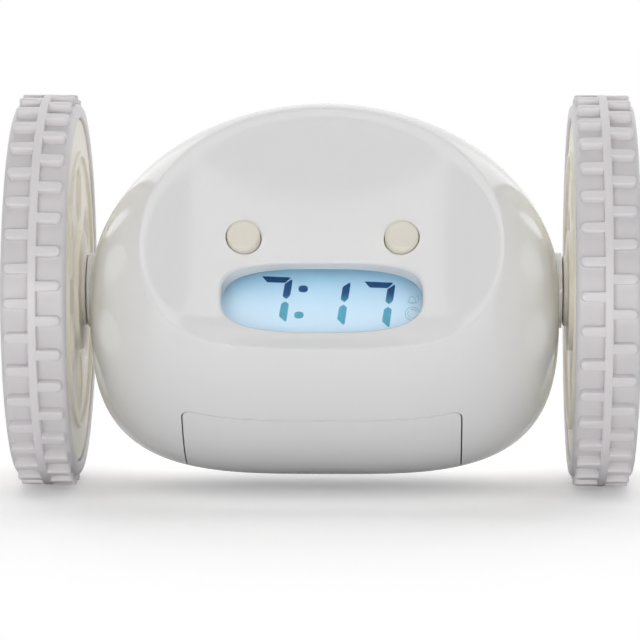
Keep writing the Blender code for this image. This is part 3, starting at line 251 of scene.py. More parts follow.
class ClockSizes(bpy.types.PropertyGroup):
    rim_softness: bpy.props.FloatProperty(
        name="Rim softness", description="How far the soft rim of the face spreads",
        default=0.0030, min=0.0002, max=0.010, unit="LENGTH")
    window_lip: bpy.props.FloatProperty(
        name="Window lip", description="Radius of the window's rounded lip",
        default=0.0007, min=0.0001, max=0.002, unit="LENGTH")
    lug_bevel: bpy.props.FloatProperty(
        name="Lug edge", description="Radius along the top edges of the tread lugs",
        default=0.0004, min=0.00005, max=0.001, unit="LENGTH")
    button_edge: bpy.props.FloatProperty(
        name="Button edge", description="Radius round the top of the round buttons",
        default=0.0009, min=0.0001, max=0.002, unit="LENGTH")


class ClockColours(bpy.types.PropertyGroup):
    body: bpy.props.FloatVectorProperty(
        name="Body", description="Gloss plastic of the body and the battery door",
        subtype="COLOR", size=3, min=0.0, max=1.0, default=srgb("F5F5F5"))
    cream: bpy.props.FloatVectorProperty(
        name="Buttons and wheels", description="Satin plastic of the buttons, wheels and hubs",
        subtype="COLOR", size=3, min=0.0, max=1.0, default=srgb("F2EDDF"))
    tyre: bpy.props.FloatVectorProperty(
        name="Tyres", description="Soft rubber of the tyres",
        subtype="COLOR", size=3, min=0.0, max=1.0, default=srgb("F1EDEF"))
    display: bpy.props.FloatVectorProperty(
        name="Display", description="Ground of the display",
        subtype="COLOR", size=3, min=0.0, max=1.0, default=srgb("BCCFDD"))
    digits: bpy.props.FloatVectorProperty(
        name="Digits", description="Dark segments of the display",
        subtype="COLOR", size=3, min=0.0, max=1.0, default=srgb("0E4272"))


# Frames

FACE_UP = Vector((0.0, math.sin(FACE_LEAN), math.cos(FACE_LEAN)))
FACE_OUT = Vector((0.0, -math.cos(FACE_LEAN), math.sin(FACE_LEAN)))
SNOOZE_OUT = Vector((0.0, math.sin(SNOOZE_LEAN), math.cos(SNOOZE_LEAN)))
SNOOZE_BACK = Vector((0.0, math.cos(SNOOZE_LEAN), -math.sin(SNOOZE_LEAN)))


def axes_frame(first, second, third, origin=CENTRE):
    """Matrix that takes local X, Y, Z to three world directions."""
    turn = Matrix((first, second, third)).transposed().to_4x4()
    return Matrix.Translation(origin) @ turn


X_AXIS, Y_AXIS, Z_AXIS = Vector((1, 0, 0)), Vector((0, 1, 0)), Vector((0, 0, 1))
WORLD = Matrix.Translation(CENTRE)
FACE = axes_frame(X_AXIS, FACE_UP, FACE_OUT)
SNOOZE = axes_frame(X_AXIS, SNOOZE_BACK, SNOOZE_OUT)
REAR = axes_frame(-X_AXIS, Z_AXIS, Y_AXIS)
DOOR = axes_frame(X_AXIS, FACE_OUT, -FACE_UP)
ALONG_AXLE = axes_frame(Y_AXIS, Z_AXIS, X_AXIS)
MIRROR_X = Matrix.Diagonal((-1.0, 1.0, 1.0, 1.0))


# Shapes

def placed(name, data):
    """Object in the scene."""
    thing = bpy.data.objects.new(name, data)
    bpy.context.scene.collection.objects.link(thing)
    return thing


def piece_from(name, bm, body=None, slot=None, replaced=(), sharp=35.0, finish=None):
    """Object from a bmesh, riding on a body and taking its finish from a slot."""
    mesh = bpy.data.meshes.new(name)
    bm.to_mesh(mesh)
    bm.free()
    piece = placed(name, mesh)
    if body:
        finish_piece(piece, body, slot, replaced, sharp, finish)
    return piece


def finish_piece(piece, body, slot, replaced=(), sharp=35.0, finish=None):
    """Ride on a body, take the slot's finish or another one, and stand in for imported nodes."""
    piece.data.materials.clear()
    piece.data.materials.append(MATERIALS[finish or slot])
    piece.data.shade_smooth()
    piece.data.set_sharp_from_angle(angle=math.radians(sharp))
    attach(piece, body)
    if replaced:
        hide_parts(*replaced)
    return piece


def turned(profile, steps, place):
    """Outline of (radius, height) points turned about the third axis of a frame."""
    bm = bmesh.new()
    verts = [bm.verts.new((r, 0.0, h)) for r, h in profile]
    edges = [bm.edges.new(pair) for pair in zip(verts, verts[1:])]
    bmesh.ops.spin(bm, geom=verts + edges, cent=(0, 0, 0), axis=(0, 0, 1), dvec=(0, 0, 0),
                   angle=2 * math.pi, steps=steps, use_merge=True, use_duplicate=False)
    bmesh.ops.remove_doubles(bm, verts=bm.verts, dist=0.000002)
    bmesh.ops.recalc_face_normals(bm, faces=bm.faces)
    bm.transform(place)
    return bm


def soften(profile, radii, steps=3, closed=False):
    """Round the inner corners of an open outline, each by its own radius."""
    points = [Vector(p) for p in profile]
    result = [] if closed else [points[0]]
    first, last = (0, len(points)) if closed else (1, len(points) - 1)
    for k in range(first, last):
        corner, before, after = points[k], points[k - 1], points[(k + 1) % len(points)]
        to_before, to_after = (before - corner), (after - corner)
        reach = min(radii[k] if hasattr(radii, "__len__") else radii,
                    to_before.length * 0.45, to_after.length * 0.45)
        if reach < 0.00002:
            result.append(corner)
            continue
        a = corner + to_before.normalized() * reach
        b = corner + to_after.normalized() * reach
        for j in range(steps + 1):
            t = j / steps
            result.append(a.lerp(corner, t).lerp(corner.lerp(b, t), t))
    if not closed:
        result.append(points[-1])
    return [tuple(p) for p in result]


def loft(rings, place=Matrix.Identity(4)):
    """Closed solid through rings of points, one after the other."""
    bm = bmesh.new()
    loops = []
    for ring in rings:
        verts = [bm.verts.new(point) for point in ring]
        loops.append([bm.edges.new((verts[k - 1], verts[k])) for k in range(len(verts))])
    for below, above in zip(loops, loops[1:]):
        bmesh.ops.bridge_loops(bm, edges=below + above)
    bmesh.ops.holes_fill(bm, edges=loops[0] + loops[-1], sides=0)
    bmesh.ops.recalc_face_normals(bm, faces=bm.faces)
    bm.transform(place)
    return bm


def at_height(outline, height):
    return [(u, v, height) for u, v in outline]


def plate(outline, low, high, place, edge=0.0):
    """Flat outline between two heights; edge rounds the outline's upper rim inward."""
    rings = [at_height(outline, low)]
    if edge:
        for share in (0.0, 0.3, 0.7, 1.0):
            angle = share * math.pi / 2
            drawn = inward(outline, edge * (1 - math.cos(angle)))
            rings.append(at_height(drawn, high - edge + edge * math.sin(angle)))
    else:
        rings.append(at_height(outline, high))
    return loft(rings, place)


def inward(outline, distance):
    """Outline with every point moved inward along its corner's middle line."""
    points = [Vector(p) for p in outline]
    turn = sum(a.x * b.y - b.x * a.y for a, b in zip(points, points[1:] + points[:1]))
    sign = 1.0 if turn > 0 else -1.0
    moved = []
    for k, point in enumerate(points):
        a = (point - points[k - 1]).normalized()
        b = (points[(k + 1) % len(points)] - point).normalized()
        normal = Vector((-a.y - b.y, a.x + b.x)).normalized() * sign
        moved.append(tuple(point + normal * distance))
    return moved


def joined(*parts):
    """One bmesh that holds several."""
    whole = bmesh.new()
    for part in parts:
        mesh = bpy.data.meshes.new("part")
        part.to_mesh(mesh)
        part.free()
        whole.from_mesh(mesh)
        bpy.data.meshes.remove(mesh)
    return whole


def block(low, high, place=WORLD):
    low, high = Vector(low), Vector(high)
    bm = bmesh.new()
    bmesh.ops.create_cube(bm, size=1.0)
    bm.transform(place @ Matrix.Translation((low + high) / 2) @ Matrix.Diagonal((*(high - low), 1.0)))
    return bm


def rod(start, end, radius, sides):
    start, end = Vector(start), Vector(end)
    along = end - start
    turn = Z_AXIS.rotation_difference(along).to_matrix().to_4x4()
    bm = bmesh.new()
    bmesh.ops.create_cone(bm, cap_ends=True, cap_tris=False, segments=sides,
                          radius1=radius, radius2=radius, depth=along.length)
    bm.transform(WORLD @ Matrix.Translation((start + end) / 2) @ turn)
    return bm


def cut(target, cutter, operation="DIFFERENCE"):
    """Boolean of a plain object with a bmesh, applied at once."""
    tool = piece_from("cutter", cutter)
    modifier = target.modifiers.new("cut", "BOOLEAN")
    modifier.operation = operation
    modifier.solver = "EXACT"
    modifier.object = tool
    graph = bpy.context.evaluated_depsgraph_get()
    mesh = bpy.data.meshes.new_from_object(target.evaluated_get(graph))
    target.modifiers.clear()
    old, target.data = target.data, mesh
    bpy.data.meshes.remove(old)
    bpy.data.objects.remove(tool, do_unlink=True)
    return target


def taken(piece):
    """Bmesh of a helper object, which is removed."""
    bm = bmesh.new()
    bm.from_mesh(piece.data)
    bpy.data.objects.remove(piece, do_unlink=True)
    return bm


def circle_outline(u, v, radius, sides=64):
    angles = [2 * math.pi * k / sides for k in range(sides)]
    return [(u + radius * math.cos(a), v + radius * math.sin(a)) for a in angles]


def superellipse(half_u, half_v, power, sides, v_centre=0.0):
    points = []
    for k in range(sides):
        angle = 2 * math.pi * k / sides
        c, s = math.cos(angle), math.sin(angle)
        points.append((math.copysign(abs(c) ** (2 / power), c) * half_u,
                       v_centre + math.copysign(abs(s) ** (2 / power), s) * half_v))
    return points


def rounded_rectangle(low_u, low_v, high_u, high_v, radius, steps=6):
    points = []
    for quarter, (u, v) in enumerate(((high_u - radius, high_v - radius), (low_u + radius, high_v - radius),
                                      (low_u + radius, low_v + radius), (high_u - radius, low_v + radius))):
        angles = [(quarter + k / steps) * math.pi / 2 for k in range(steps + 1)]
        points += [(u + radius * math.cos(a), v + radius * math.sin(a)) for a in angles]
    return points


# Body surface

def halved(low, high, steps, within):
    """Halve the way between two arrays of numbers, towards where within stops being true."""
    for _ in range(steps):
        middle = (low + high) / 2
        inside = within(middle)
        low = np.where(inside, middle, low)
        high = np.where(inside, high, middle)
    return low, high


def egg_reach(directions, inset):
    """Distance from the middle of the body to the egg along unit directions."""
    half = BODY_HALF_WIDTH - inset
    dx, dy, dz = np.abs(directions[:, 0]), directions[:, 1], directions[:, 2]

    def within(length):
        share = np.clip(length * dx / half, 0.0, 1.0)

        def fall(size, power):
            return (size - inset) * np.maximum(1 - share ** power, 1e-12) ** (1 / power)

        tall = np.where(dz > 0, fall(BODY_TOP, TOP_POWER), fall(BODY_BOTTOM, BOTTOM_POWER))
        return (length * dy / fall(BODY_DEPTH, DEPTH_POWER)) ** 2 + (length * dz / tall) ** 2 <= 1

    low, high = halved(np.zeros(len(dx)), np.minimum(2 * half, half / np.maximum(dx, 1e-9)), 40, within)
    return (low + high) / 2


def dish_heights(u, v):
    """Height of the dish over points of the face: nearly flat in the middle, rising to its rim."""
    up = v - DISH_MIDDLE_S
    half = np.where(up > 0, DISH_UP, DISH_DOWN)
    power = np.where(up > 0, DISH_TOP_POWER, DISH_BOTTOM_POWER)
    share = (np.abs(u) / DISH_HALF_WIDTH) ** power + (np.abs(up) / half) ** power
    return DISH_FLOOR_T + DISH_RISE * share ** (DISH_RISE_POWER / power)


def dish_reach(directions, inset):
    """Distance to the dish, or a long way where a line stays behind it."""
    across, up, out = (directions @ np.array((X_AXIS, FACE_UP, FACE_OUT)).T).T

    def behind(reach):
        return reach * out <= dish_heights(reach * across, reach * up) - inset

    low, high = np.zeros(len(across)), np.zeros(len(across))
    open_lines = out > 0.05
    step = 0.03 * BODY_HALF_WIDTH
    for reach in np.arange(1, 41) * step:
        past = open_lines & ~behind(reach)
        low[past], high[past] = reach - step, reach
        open_lines &= ~past
    return np.where(high > 0, halved(low, high, 20, behind)[0], 1.0)


def body_reach(directions, inset, softness):
    """Egg and dish together, with a soft rim where they meet."""
    egg, dish = egg_reach(directions, inset), dish_reach(directions, inset)
    share = np.clip(1 - np.abs(egg - dish) / softness, 0.0, None)
    return np.minimum(egg, dish) - softness * share ** 2 / 4


def rim_angle(turns, inset):
    """Angle from the middle of the dish to its rim, for each turn round the face."""
    def on_dish(angles):
        lines = face_lines(angles, turns)
        return dish_reach(lines, inset) < egg_reach(lines, inset)

    low, high = halved(np.zeros(len(turns)), np.full(len(turns), math.radians(100.0)), 40, on_dish)
    return (low + high) / 2


def face_lines(angles, turns):
    """Unit directions at an angle from the face's normal, turned round it."""
    flat = np.outer(np.cos(turns), X_AXIS) + np.outer(np.sin(turns), FACE_UP)
    return np.outer(np.cos(angles), FACE_OUT) + flat * np.sin(angles)[:, None]


def body_form(inset, around, rings, softness, rim_share=0.34):
    """Ball whose rings follow the rim of the dish, drawn onto the body's surface."""
    bm = bmesh.new()
    bmesh.ops.create_uvsphere(bm, u_segments=around, v_segments=rings, radius=1.0)
    co = np.array([vert.co for vert in bm.verts])
    turns = np.arctan2(co[:, 1], co[:, 0])
    share = np.arccos(np.clip(co[:, 2], -1, 1)) / math.pi
    rim = rim_angle(turns, inset)
    inner = 1 - (1 - np.clip(share / rim_share, 0, 1)) ** 1.5
    outer = np.clip((share - rim_share) / (1 - rim_share), 0, 1) ** 1.35
    angles = np.where(share < rim_share, rim * inner, rim + (math.pi - rim) * outer)
    lines = face_lines(angles, turns)
    reach = body_reach(lines, inset, softness)
    for vert, line, length in zip(bm.verts, lines, reach):
        vert.co = CENTRE + Vector(line) * length
    bmesh.ops.remove_doubles(bm, verts=bm.verts, dist=0.000002)
    return bm


def body_normals(points, softness, proud=0.0):
    """Outward normals of the body's surface at points near it, and how far off it they lie."""
    def height(p):
        length = np.linalg.norm(p, axis=1)
        return length - body_reach(p / length[:, None], -proud, softness)

    step = 0.00001
    local = points - np.array(CENTRE)
    off = height(local)
    slope = np.empty_like(local)
    for axis in range(3):
        shift = np.zeros(3)
        shift[axis] = step
        slope[:, axis] = height(local + shift) - height(local - shift)
    return slope / np.linalg.norm(slope, axis=1)[:, None], off


def follow_body(piece, softness, proud=0.0):
    """Shade the faces that lie on the body's surface by that surface's own normals."""
    mesh = piece.data
    co = np.empty(len(mesh.vertices) * 3)
    mesh.vertices.foreach_get("co", co)
    normals, off = body_normals(co.reshape(-1, 3), softness, proud)
    on = np.abs(off) < 0.000004
    loops = np.zeros((len(mesh.loops), 3))
    for face in mesh.polygons:
        ids = list(face.vertices)
        if all(on[ids]) and Vector(normals[ids].mean(axis=0)).dot(face.normal) > 0.7:
            loops[face.loop_start:face.loop_start + face.loop_total] = normals[ids]
    mesh.normals_split_custom_set([tuple(normal) for normal in loops])


# Finishes

def add_node(tree, kind, links=None, **settings):
    """Node with its settings, and its inputs set to values or linked to other outputs."""
    node = tree.nodes.new(kind)
    for key, value in settings.items():
        setattr(node, key, value)
    for key, value in (links or {}).items():
        socket = node.inputs[key]
        if isinstance(value, bpy.types.NodeSocket):
            tree.links.new(value, socket)
        else:
            socket.default_value = value
    return node


def new_finish(name, **shader):
    """Material with its shader's settings, its tree and its Object coordinates."""
    material = bpy.data.materials.new(name)
    material.use_nodes = True
    tree = material.node_tree
    for key, value in shader.items():
        tree.nodes["Principled BSDF"].inputs[key.replace("_", " ")].default_value = value
    return material, tree, add_node(tree, "ShaderNodeTexCoord").outputs["Object"]


def feed(tree, name, output):
    """Link an output to one of the shader's inputs."""
    tree.links.new(output, tree.nodes["Principled BSDF"].inputs[name])


def add_grain(tree, place, scale, height, strength, **noise):
    """Fine bump over the whole surface."""
    grain = add_node(tree, "ShaderNodeTexNoise", {"Vector": place, "Scale": scale, **noise})
    bump = add_node(tree, "ShaderNodeBump", {"Strength": strength, "Distance": height,
                                             "Height": grain.outputs["Fac"]})
    feed(tree, "Normal", bump.outputs["Normal"])


def finish_material(name, colour, roughness, bump_mm=0.25, bump_height=0.00001, tone=0.03,
                    tone_mm=14.0, rough_spread=0.04, **shader):
    """Principled finish with a fine surface grain, a slow change of tone and uneven gloss."""
    material, tree, place = new_finish(name, **shader)
    slow = add_node(tree, "ShaderNodeTexNoise", {"Vector": place, "Scale": 1000.0 / tone_mm,
                                                 "Detail": 3.0, "Roughness": 0.5}).outputs["Fac"]
    if tone:
        base = add_node(tree, "ShaderNodeMix", {0: slow, 6: (*[c * (1 - tone) for c in colour], 1.0),
                                                7: (*[min(1.0, c * (1 + tone)) for c in colour], 1.0)},
                        data_type="RGBA")
        feed(tree, "Base Color", base.outputs[2])
    else:
        tree.nodes["Principled BSDF"].inputs["Base Color"].default_value = (*colour, 1.0)
    gloss = add_node(tree, "ShaderNodeMapRange",
                     {"Value": slow, "To Min": max(0.0, roughness - rough_spread),
                      "To Max": roughness + rough_spread})
    feed(tree, "Roughness", gloss.outputs["Result"])
    add_grain(tree, place, 1000.0 / bump_mm, bump_height, 0.35, Detail=2.0, Roughness=0.6)
    return material


def shade_tread(tree):
    """By distance from the axle: painted shade on the tread floor, a painted highlight on the lug edges,
    tops between.
    """
    place = add_node(tree, "ShaderNodeTexCoord").outputs["Object"]
    for operation, value in (("SUBTRACT", (0.0, 0.0, AXLE_Z)), ("MULTIPLY", (0.0, 1.0, 1.0))):
        place = add_node(tree, "ShaderNodeVectorMath", {0: place, 1: value},
                         operation=operation).outputs["Vector"]
    reach = add_node(tree, "ShaderNodeVectorMath", {0: place}, operation="LENGTH").outputs["Value"]
    share = 1.0
    # Painted shade rising from the tread floor to the lug edges, then the lug tops dimmed a little so the
    # edges stay a painted highlight
    for low, high, low_painted_light, high_painted_light in (
            (TYRE_RADIUS - TREAD_DEPTH, TYRE_RADIUS - LUG_PAINTED_HIGHLIGHT_DEPTH, TREAD_FLOOR_PAINTED_SHADE, 1.0),
            (TYRE_RADIUS - 2 * LUG_TOP_DEPTH, TYRE_RADIUS - LUG_TOP_DEPTH, 1.0, LUG_TOP_DIMMED_BESIDE_PAINTED_HIGHLIGHT)):
        tone = add_node(tree, "ShaderNodeMapRange", {"Value": reach, "From Min": low, "From Max": high,
                                                     "To Min": low_painted_light, "To Max": high_painted_light})
        share = add_node(tree, "ShaderNodeMath", {0: share, 1: tone.outputs["Result"]},
                         operation="MULTIPLY").outputs["Value"]
    plain = tree.nodes["Principled BSDF"].inputs["Base Color"].links[0].from_socket
    shaded = add_node(tree, "ShaderNodeMix", {0: share, 6: (0.0, 0.0, 0.0, 1.0), 7: plain},
                      data_type="RGBA")
    feed(tree, "Base Color", shaded.outputs[2])


# By slot: name, colour from the panel or sRGB code, roughness, and what differs from the usual
FINISHES = {
    # Gloss ABS, moulded in a polished tool: clear reflections with a very faint orange peel
    "white_plastic": ("gloss_abs_white", "body", 0.12, dict(
        bump_mm=2.4, bump_height=0.000006, tone=0.008, tone_mm=30.0, rough_spread=0.03, IOR=1.53)),
    # Satin ABS from a finely blasted tool: soft highlights and a fine even grain
    "cream_plastic": ("satin_abs_cream", "cream", 0.38, dict(
        bump_mm=0.35, tone=0.015, tone_mm=12.0, IOR=1.53)),
    # Thermoplastic rubber, moulded: slightly dull with a faint skin and small changes of tone
    "white_rubber": ("moulded_tpe_white", "tyre", 0.40, dict(
        bump_mm=0.5, bump_height=0.00002, tone=0.025, tone_mm=6.0, rough_spread=0.07, IOR=1.50)),
    # Acetal gears: milky and a little waxy
    "gear_plastic": ("moulded_acetal", "E9E8DF", 0.35, dict(bump_mm=0.4, tone=0.02, IOR=1.48)),
    # Black ABS of switches and speaker: fine spark-eroded grain
    "black_plastic": ("grained_abs_black", "1B1B1C", 0.42, dict(
        bump_mm=0.3, bump_height=0.00002, tone=0.10, IOR=1.53)),
    # Woven glass laminate under green solder mask: glossy with a fine waviness
    "board_laminate": ("solder_mask_green", "1D5A2E", 0.28, dict(
        bump_mm=0.9, tone=0.08, tone_mm=4.0, IOR=1.50)),
    # Silicone strip, dull
    "grey_rubber": ("silicone_grey", "5B5B5C", 0.65, dict(bump_mm=0.3, tone=0.04)),
    # Frosted acrylic light guide
    "diffuser_plastic": ("frosted_acrylic", "DDEBEE", 0.50, dict(bump_mm=0.2, tone=0.01, IOR=1.49)),
    # Zinc-plated steel: bright with a faint blue-grey unevenness from the bath
    "steel": ("zinc_plated_steel", "BDBFC2", 0.30, dict(
        bump_mm=0.6, bump_height=0.000006, tone=0.05, tone_mm=3.0, rough_spread=0.08, Metallic=1.0)),
    # Printed shrink sleeve over a steel can
    "cell_metal": ("shrink_sleeve_grey", "8B8A88", 0.26, dict(bump_mm=3.0, Metallic=0.6)),
    # Polished clear acrylic of the lens, with a coating that keeps glare down
    "clear_plastic": ("polished_clear_acrylic", "F7FBFD", 0.03, dict(
        bump_mm=6.0, bump_height=0.000002, tone=0.0, rough_spread=0.01, IOR=1.14,
        Transmission_Weight=1.0)),
    # Liquid crystal between its clear and dark states: thin outlines that only just show
    "signs": ("faint_segments", "8FB6C8", 0.4, dict(bump_mm=0.2)),
}


def make_materials():
    colours = bpy.context.scene.clock_colours
    made = {}
    for slot, (name, colour, roughness, settings) in FINISHES.items():
        colour = tuple(getattr(colours, colour)) if hasattr(colours, colour) else srgb(colour)
        made[slot] = finish_material(name, colour, roughness, **settings)
    # Painted shade on the tread floor and a painted highlight on the lug edges of the tyres
    shade_tread(made["white_rubber"].node_tree)
    # Reflective display glass: pale, with painted shade deepening it towards its top under the window's
    # upper edge, and a painted glow
    made["lcd_glass"] = display_finish(
        "display_glass", -0.002, tuple(colours.display), WINDOW_HEIGHT / 2, srgb("93BAD1"), 4000.0,
        0.000005, DISPLAY_PAINTED_GLOW, 1.0, Roughness=0.45, IOR=1.5)
    # Liquid crystal in its dark state: navy, paler and greener towards the foot of each digit
    made["digits"] = display_finish(
        "display_segments", 0.0, srgb("57A0B6"), 0.0042, tuple(colours.digits), 5000.0, 0.000004,
        Roughness=0.4, Specular_IOR_Level=0.08)
    return made


def display_finish(name, low, low_colour, high, high_colour, grain_scale, grain_height, painted_glow=0.0,
                   detail=2.0, **shader):
    """Finish that goes from one colour to another between two heights over the window's middle, with an
    optional painted glow.
    """
    material, tree, place = new_finish(name, **shader)
    leaned = add_node(tree, "ShaderNodeMapping", {"Vector": place, "Rotation": (FACE_LEAN, 0, 0)},
                      vector_type="POINT")
    up = add_node(tree, "ShaderNodeSeparateXYZ", {"Vector": leaned.outputs["Vector"]}).outputs["Z"]
    middle = AXLE_Z * math.cos(FACE_LEAN) + WINDOW_S
    share = add_node(tree, "ShaderNodeMapRange",
                     {"Value": up, "From Min": middle + low, "From Max": middle + high},
                     interpolation_type="SMOOTHSTEP")
    colour = add_node(tree, "ShaderNodeMix", {0: share.outputs["Result"], 6: (*low_colour, 1.0),
                                              7: (*high_colour, 1.0)}, data_type="RGBA").outputs[2]
    feed(tree, "Base Color", colour)
    add_grain(tree, place, grain_scale, grain_height, 0.2, Detail=detail)
    # Painted glow: the finish gives off its own colour as light
    if painted_glow:
        feed(tree, "Emission Color", colour)
        tree.nodes["Principled BSDF"].inputs["Emission Strength"].default_value = painted_glow
    return material


MATERIALS = {}


class CLOCK_OT_finishes(bpy.types.Operator):
    """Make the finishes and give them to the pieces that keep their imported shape"""
    bl_idname = "clock.finishes"
    bl_label = "Finishes"

    def execute(self, context):
        MATERIALS.update(make_materials())
        slots = {part["node"]: part["material_slot"] for part in frame["record"]["subparts"]}
        for name, piece in frame["nodes"].items():
            piece.data.materials.clear()
            piece.data.materials.append(MATERIALS[slots[name]])
        return {"FINISHED"}


# Body pieces

SCREW_PLACES = [(side * x, z) for x, z in (SCREW_UPPER, SCREW_LOWER) for side in (-1, 1)]


def depth_rod(x, z, start, end, radius, sides=32):
    """Rod that runs from front to back."""
    return rod((x, start, z), (x, end, z), radius, sides)


def axle_rod(start, end, radius, sides=32):
    return rod((start, 0, 0), (end, 0, 0), radius, sides)


def window_outline(grown, sides=128):
    return superellipse(WINDOW_WIDTH / 2 + grown, WINDOW_HEIGHT / 2 + grown, WINDOW_POWER, sides,
                        WINDOW_S)


def snooze_outline(grown):
    return superellipse(SNOOZE_LENGTH / 2 + grown, SNOOZE_WIDTH / 2 + grown, SNOOZE_POWER, 96)


def dish_t(u, v):
    """Height of the dish over one point of the face."""
    return float(dish_heights(np.array(u), np.array(v)))


def flared_cutter(outline_at, low_t, lip, high_t=0.045):
    """Cutter through the dish whose sides open out with a rounded lip at the dish's surface."""
    rings = [at_height(outline_at(0.0), low_t)]
    last = 74
    for degrees in (0, 15, 30, 45, 60, last):
        angle = math.radians(degrees)
        grown = lip * (1 - math.cos(angle))
        rings.append([(u, v, dish_t(u, v) - lip * (1 - math.sin(angle))) for u, v in outline_at(grown)])
    slope = math.tan(math.radians(last))
    out = 0.0012
    rings.append([(u, v, dish_t(u, v) + out / slope) for u, v in outline_at(lip + out)])
    rings.append(at_height(outline_at(lip + out), high_t))
    return loft(rings, FACE)


def door_bow(u):
    """How far the door's upper edge bows up over a place along it."""
    return DOOR_RISE + DOOR_BOW * (1 - (2 * u / DOOR_WIDTH) ** 2)


def door_outline(grown):
    half = DOOR_WIDTH / 2 + grown
    corner = DOOR_CORNER + grown
    outline = rounded_rectangle(-half, DOOR_LOW_T - grown, half, DOOR_HIGH_T + grown, corner)
    quarter = len(outline) // 4
    along = [(u, DOOR_HIGH_T + grown) for u in np.linspace(half - corner, corner - half, 26)[1:-1]]
    outline = outline[:quarter] + along + outline[quarter:]
    return [(u, v + door_bow(u) if v > 0 else v) for u, v in outline]


def latch_block(width, length):
    return block((-width / 2, -SKIN[1], DOOR_LOW_T - length),
                 (width / 2, LATCH_ROOT_S, DOOR_LOW_T + 0.001), FACE)


class CLOCK_OT_body(bpy.types.Operator):
    """Mould the front and rear shells with the dished face, window, bores, slots and door opening"""
    bl_idname = "clock.body"
    bl_label = "Body shells"

    def execute(self, context):
        sizes = context.scene.clock_sizes
        softness = sizes.rim_softness
        solid = piece_from("body_solid", body_form(0.0, 256, 150, softness))
        bosses = [axle_rod(side * END_BOSS_ROOT_X, side * END_BOSS_X, END_BOSS_RADIUS, 96)
                  for side in (-1, 1)]
        cut(solid, joined(*bosses), "UNION")

        space = piece_from("body_space", body_form(WALL, 96, 64, softness))
        standing = [plate(window_outline(WINDOW_FRAME_WALL, 96), LENS_T + PART_GAP, WINDOW_FRAME_T, FACE)]
        for x, z in SCREW_PLACES:
            standing.append(depth_rod(x, z, -BODY_DEPTH, BODY_DEPTH, SCREW_BOSS_RADIUS))
        for side in (-1, 1):
            standing.append(axle_rod(side * AXLE_SLEEVE_X, side * BODY_HALF_WIDTH, AXLE_SLEEVE_RADIUS))
        cut(space, joined(*standing))
        cut(solid, taken(space))
        reach = 0.06
        cut(solid, axle_rod(-reach, reach, AXLE_BORE_RADIUS))

        front = placed("body_front_moulding", solid.data.copy())
        cut(front, block((-reach, -reach, -reach), (reach, -PARTING_GAP / 2, reach)), "INTERSECT")
        holes = [flared_cutter(window_outline, FACE_CUT_T, sizes.window_lip)]
        for side in (-1, 1):
            def eye_outline(grown, x=side * EYE_X):
                return circle_outline(x, EYE_S, EYE_RADIUS + EYE_GAP + grown)

            holes.append(flared_cutter(eye_outline, FACE_CUT_T, EYE_LIP))
        holes.append(plate(door_outline(DOOR_GAP), *SKIN, DOOR))
        for x, z in SCREW_PLACES:
            holes.append(depth_rod(x, z, 0.001, -SCREW_THREAD_DEPTH, SCREW_THREAD_RADIUS, 24))
        cut(front, joined(*holes))
        cut(front, latch_block(NOTCH_WIDTH, NOTCH_LENGTH))
        rear = solid
        rear.name = "body_rear_moulding"
        cut(rear, block((-reach, PARTING_GAP / 2, -reach), (reach, reach, reach)), "INTERSECT")
        cut(rear, joined(*self.rear_holes()))
        for shell, packed in ((front, "front_shell"), (rear, "rear_shell")):
            finish_piece(shell, "body", "white_plastic", [packed])
            follow_body(shell, softness)
        return {"FINISHED"}

    def rear_holes(self):
        holes = []
        for k in range(SLOT_COUNT):
            offset = (k - (SLOT_COUNT - 1) / 2) * SLOT_PITCH
            half = math.sqrt(SPEAKER_RADIUS ** 2 - offset ** 2) - SLOT_END_GAP
            z, rise = SPEAKER_Z + offset, SLOT_HEIGHT / 2
            outline = rounded_rectangle(-half, z - rise, half, z + rise, rise * 0.98)
            holes.append(plate(outline, *SKIN, REAR))
        holes.append(plate(snooze_outline(BUTTON_GAP), *SKIN, SNOOZE))
        for x in (-SET_BUTTON_X, SET_BUTTON_X):
            holes.append(depth_rod(x, SET_BUTTON_Z, *SKIN, SET_BUTTON_RADIUS + BUTTON_GAP, 48))
        for x, z in SCREW_PLACES:
            holes.append(depth_rod(x, z, SCREW_SEAT_Y, SKIN[1], SCREW_HOLE_RADIUS))
            holes.append(depth_rod(x, z, -0.001, SCREW_SEAT_Y + 0.0005, SCREW_THREAD_RADIUS, 24))
        return holes


class CLOCK_OT_battery_door(bpy.types.Operator):
    """Mould the battery door with its latch tab and the two tongues of its upper edge"""
    bl_idname = "clock.battery_door"
    bl_label = "Battery door"

    def execute(self, context):
        softness = context.scene.clock_sizes.rim_softness
        door = piece_from("battery_door_moulding", body_form(0.0, 256, 150, softness))
        latch = placed("latch", door.data.copy())
        cut(door, plate(door_outline(0.0), *SKIN, DOOR), "INTERSECT")
        cut(door, taken(cut(latch, latch_block(LATCH_WIDTH, LATCH_LENGTH), "INTERSECT")), "UNION")
        cut(door, body_form(WALL, 128, 80, softness))
        tongues = []
        root_t = DOOR_HIGH_T + door_bow(TONGUE_X + TONGUE_WIDTH / 2) - 0.0002
        high_s = TONGUE_S + TONGUE_THICKNESS
        for side in (-1, 1):
            x_low, x_high = sorted((side * TONGUE_X, side * (TONGUE_X + TONGUE_WIDTH)))
            tongues.append(block((x_low, TONGUE_ROOT_S, root_t - TONGUE_THICKNESS),
                                 (x_high, high_s, root_t), FACE))
            tongues.append(block((x_low + 0.00001, TONGUE_S, root_t - TONGUE_THICKNESS / 2),
                                 (x_high - 0.00001, high_s - 0.00001, root_t + TONGUE_REACH), FACE))
        for tongue in tongues:
            cut(door, tongue, "UNION")
        finish_piece(door, "door", "white_plastic", ["battery_door"])
        follow_body(door, softness)
        return {"FINISHED"}


# Display

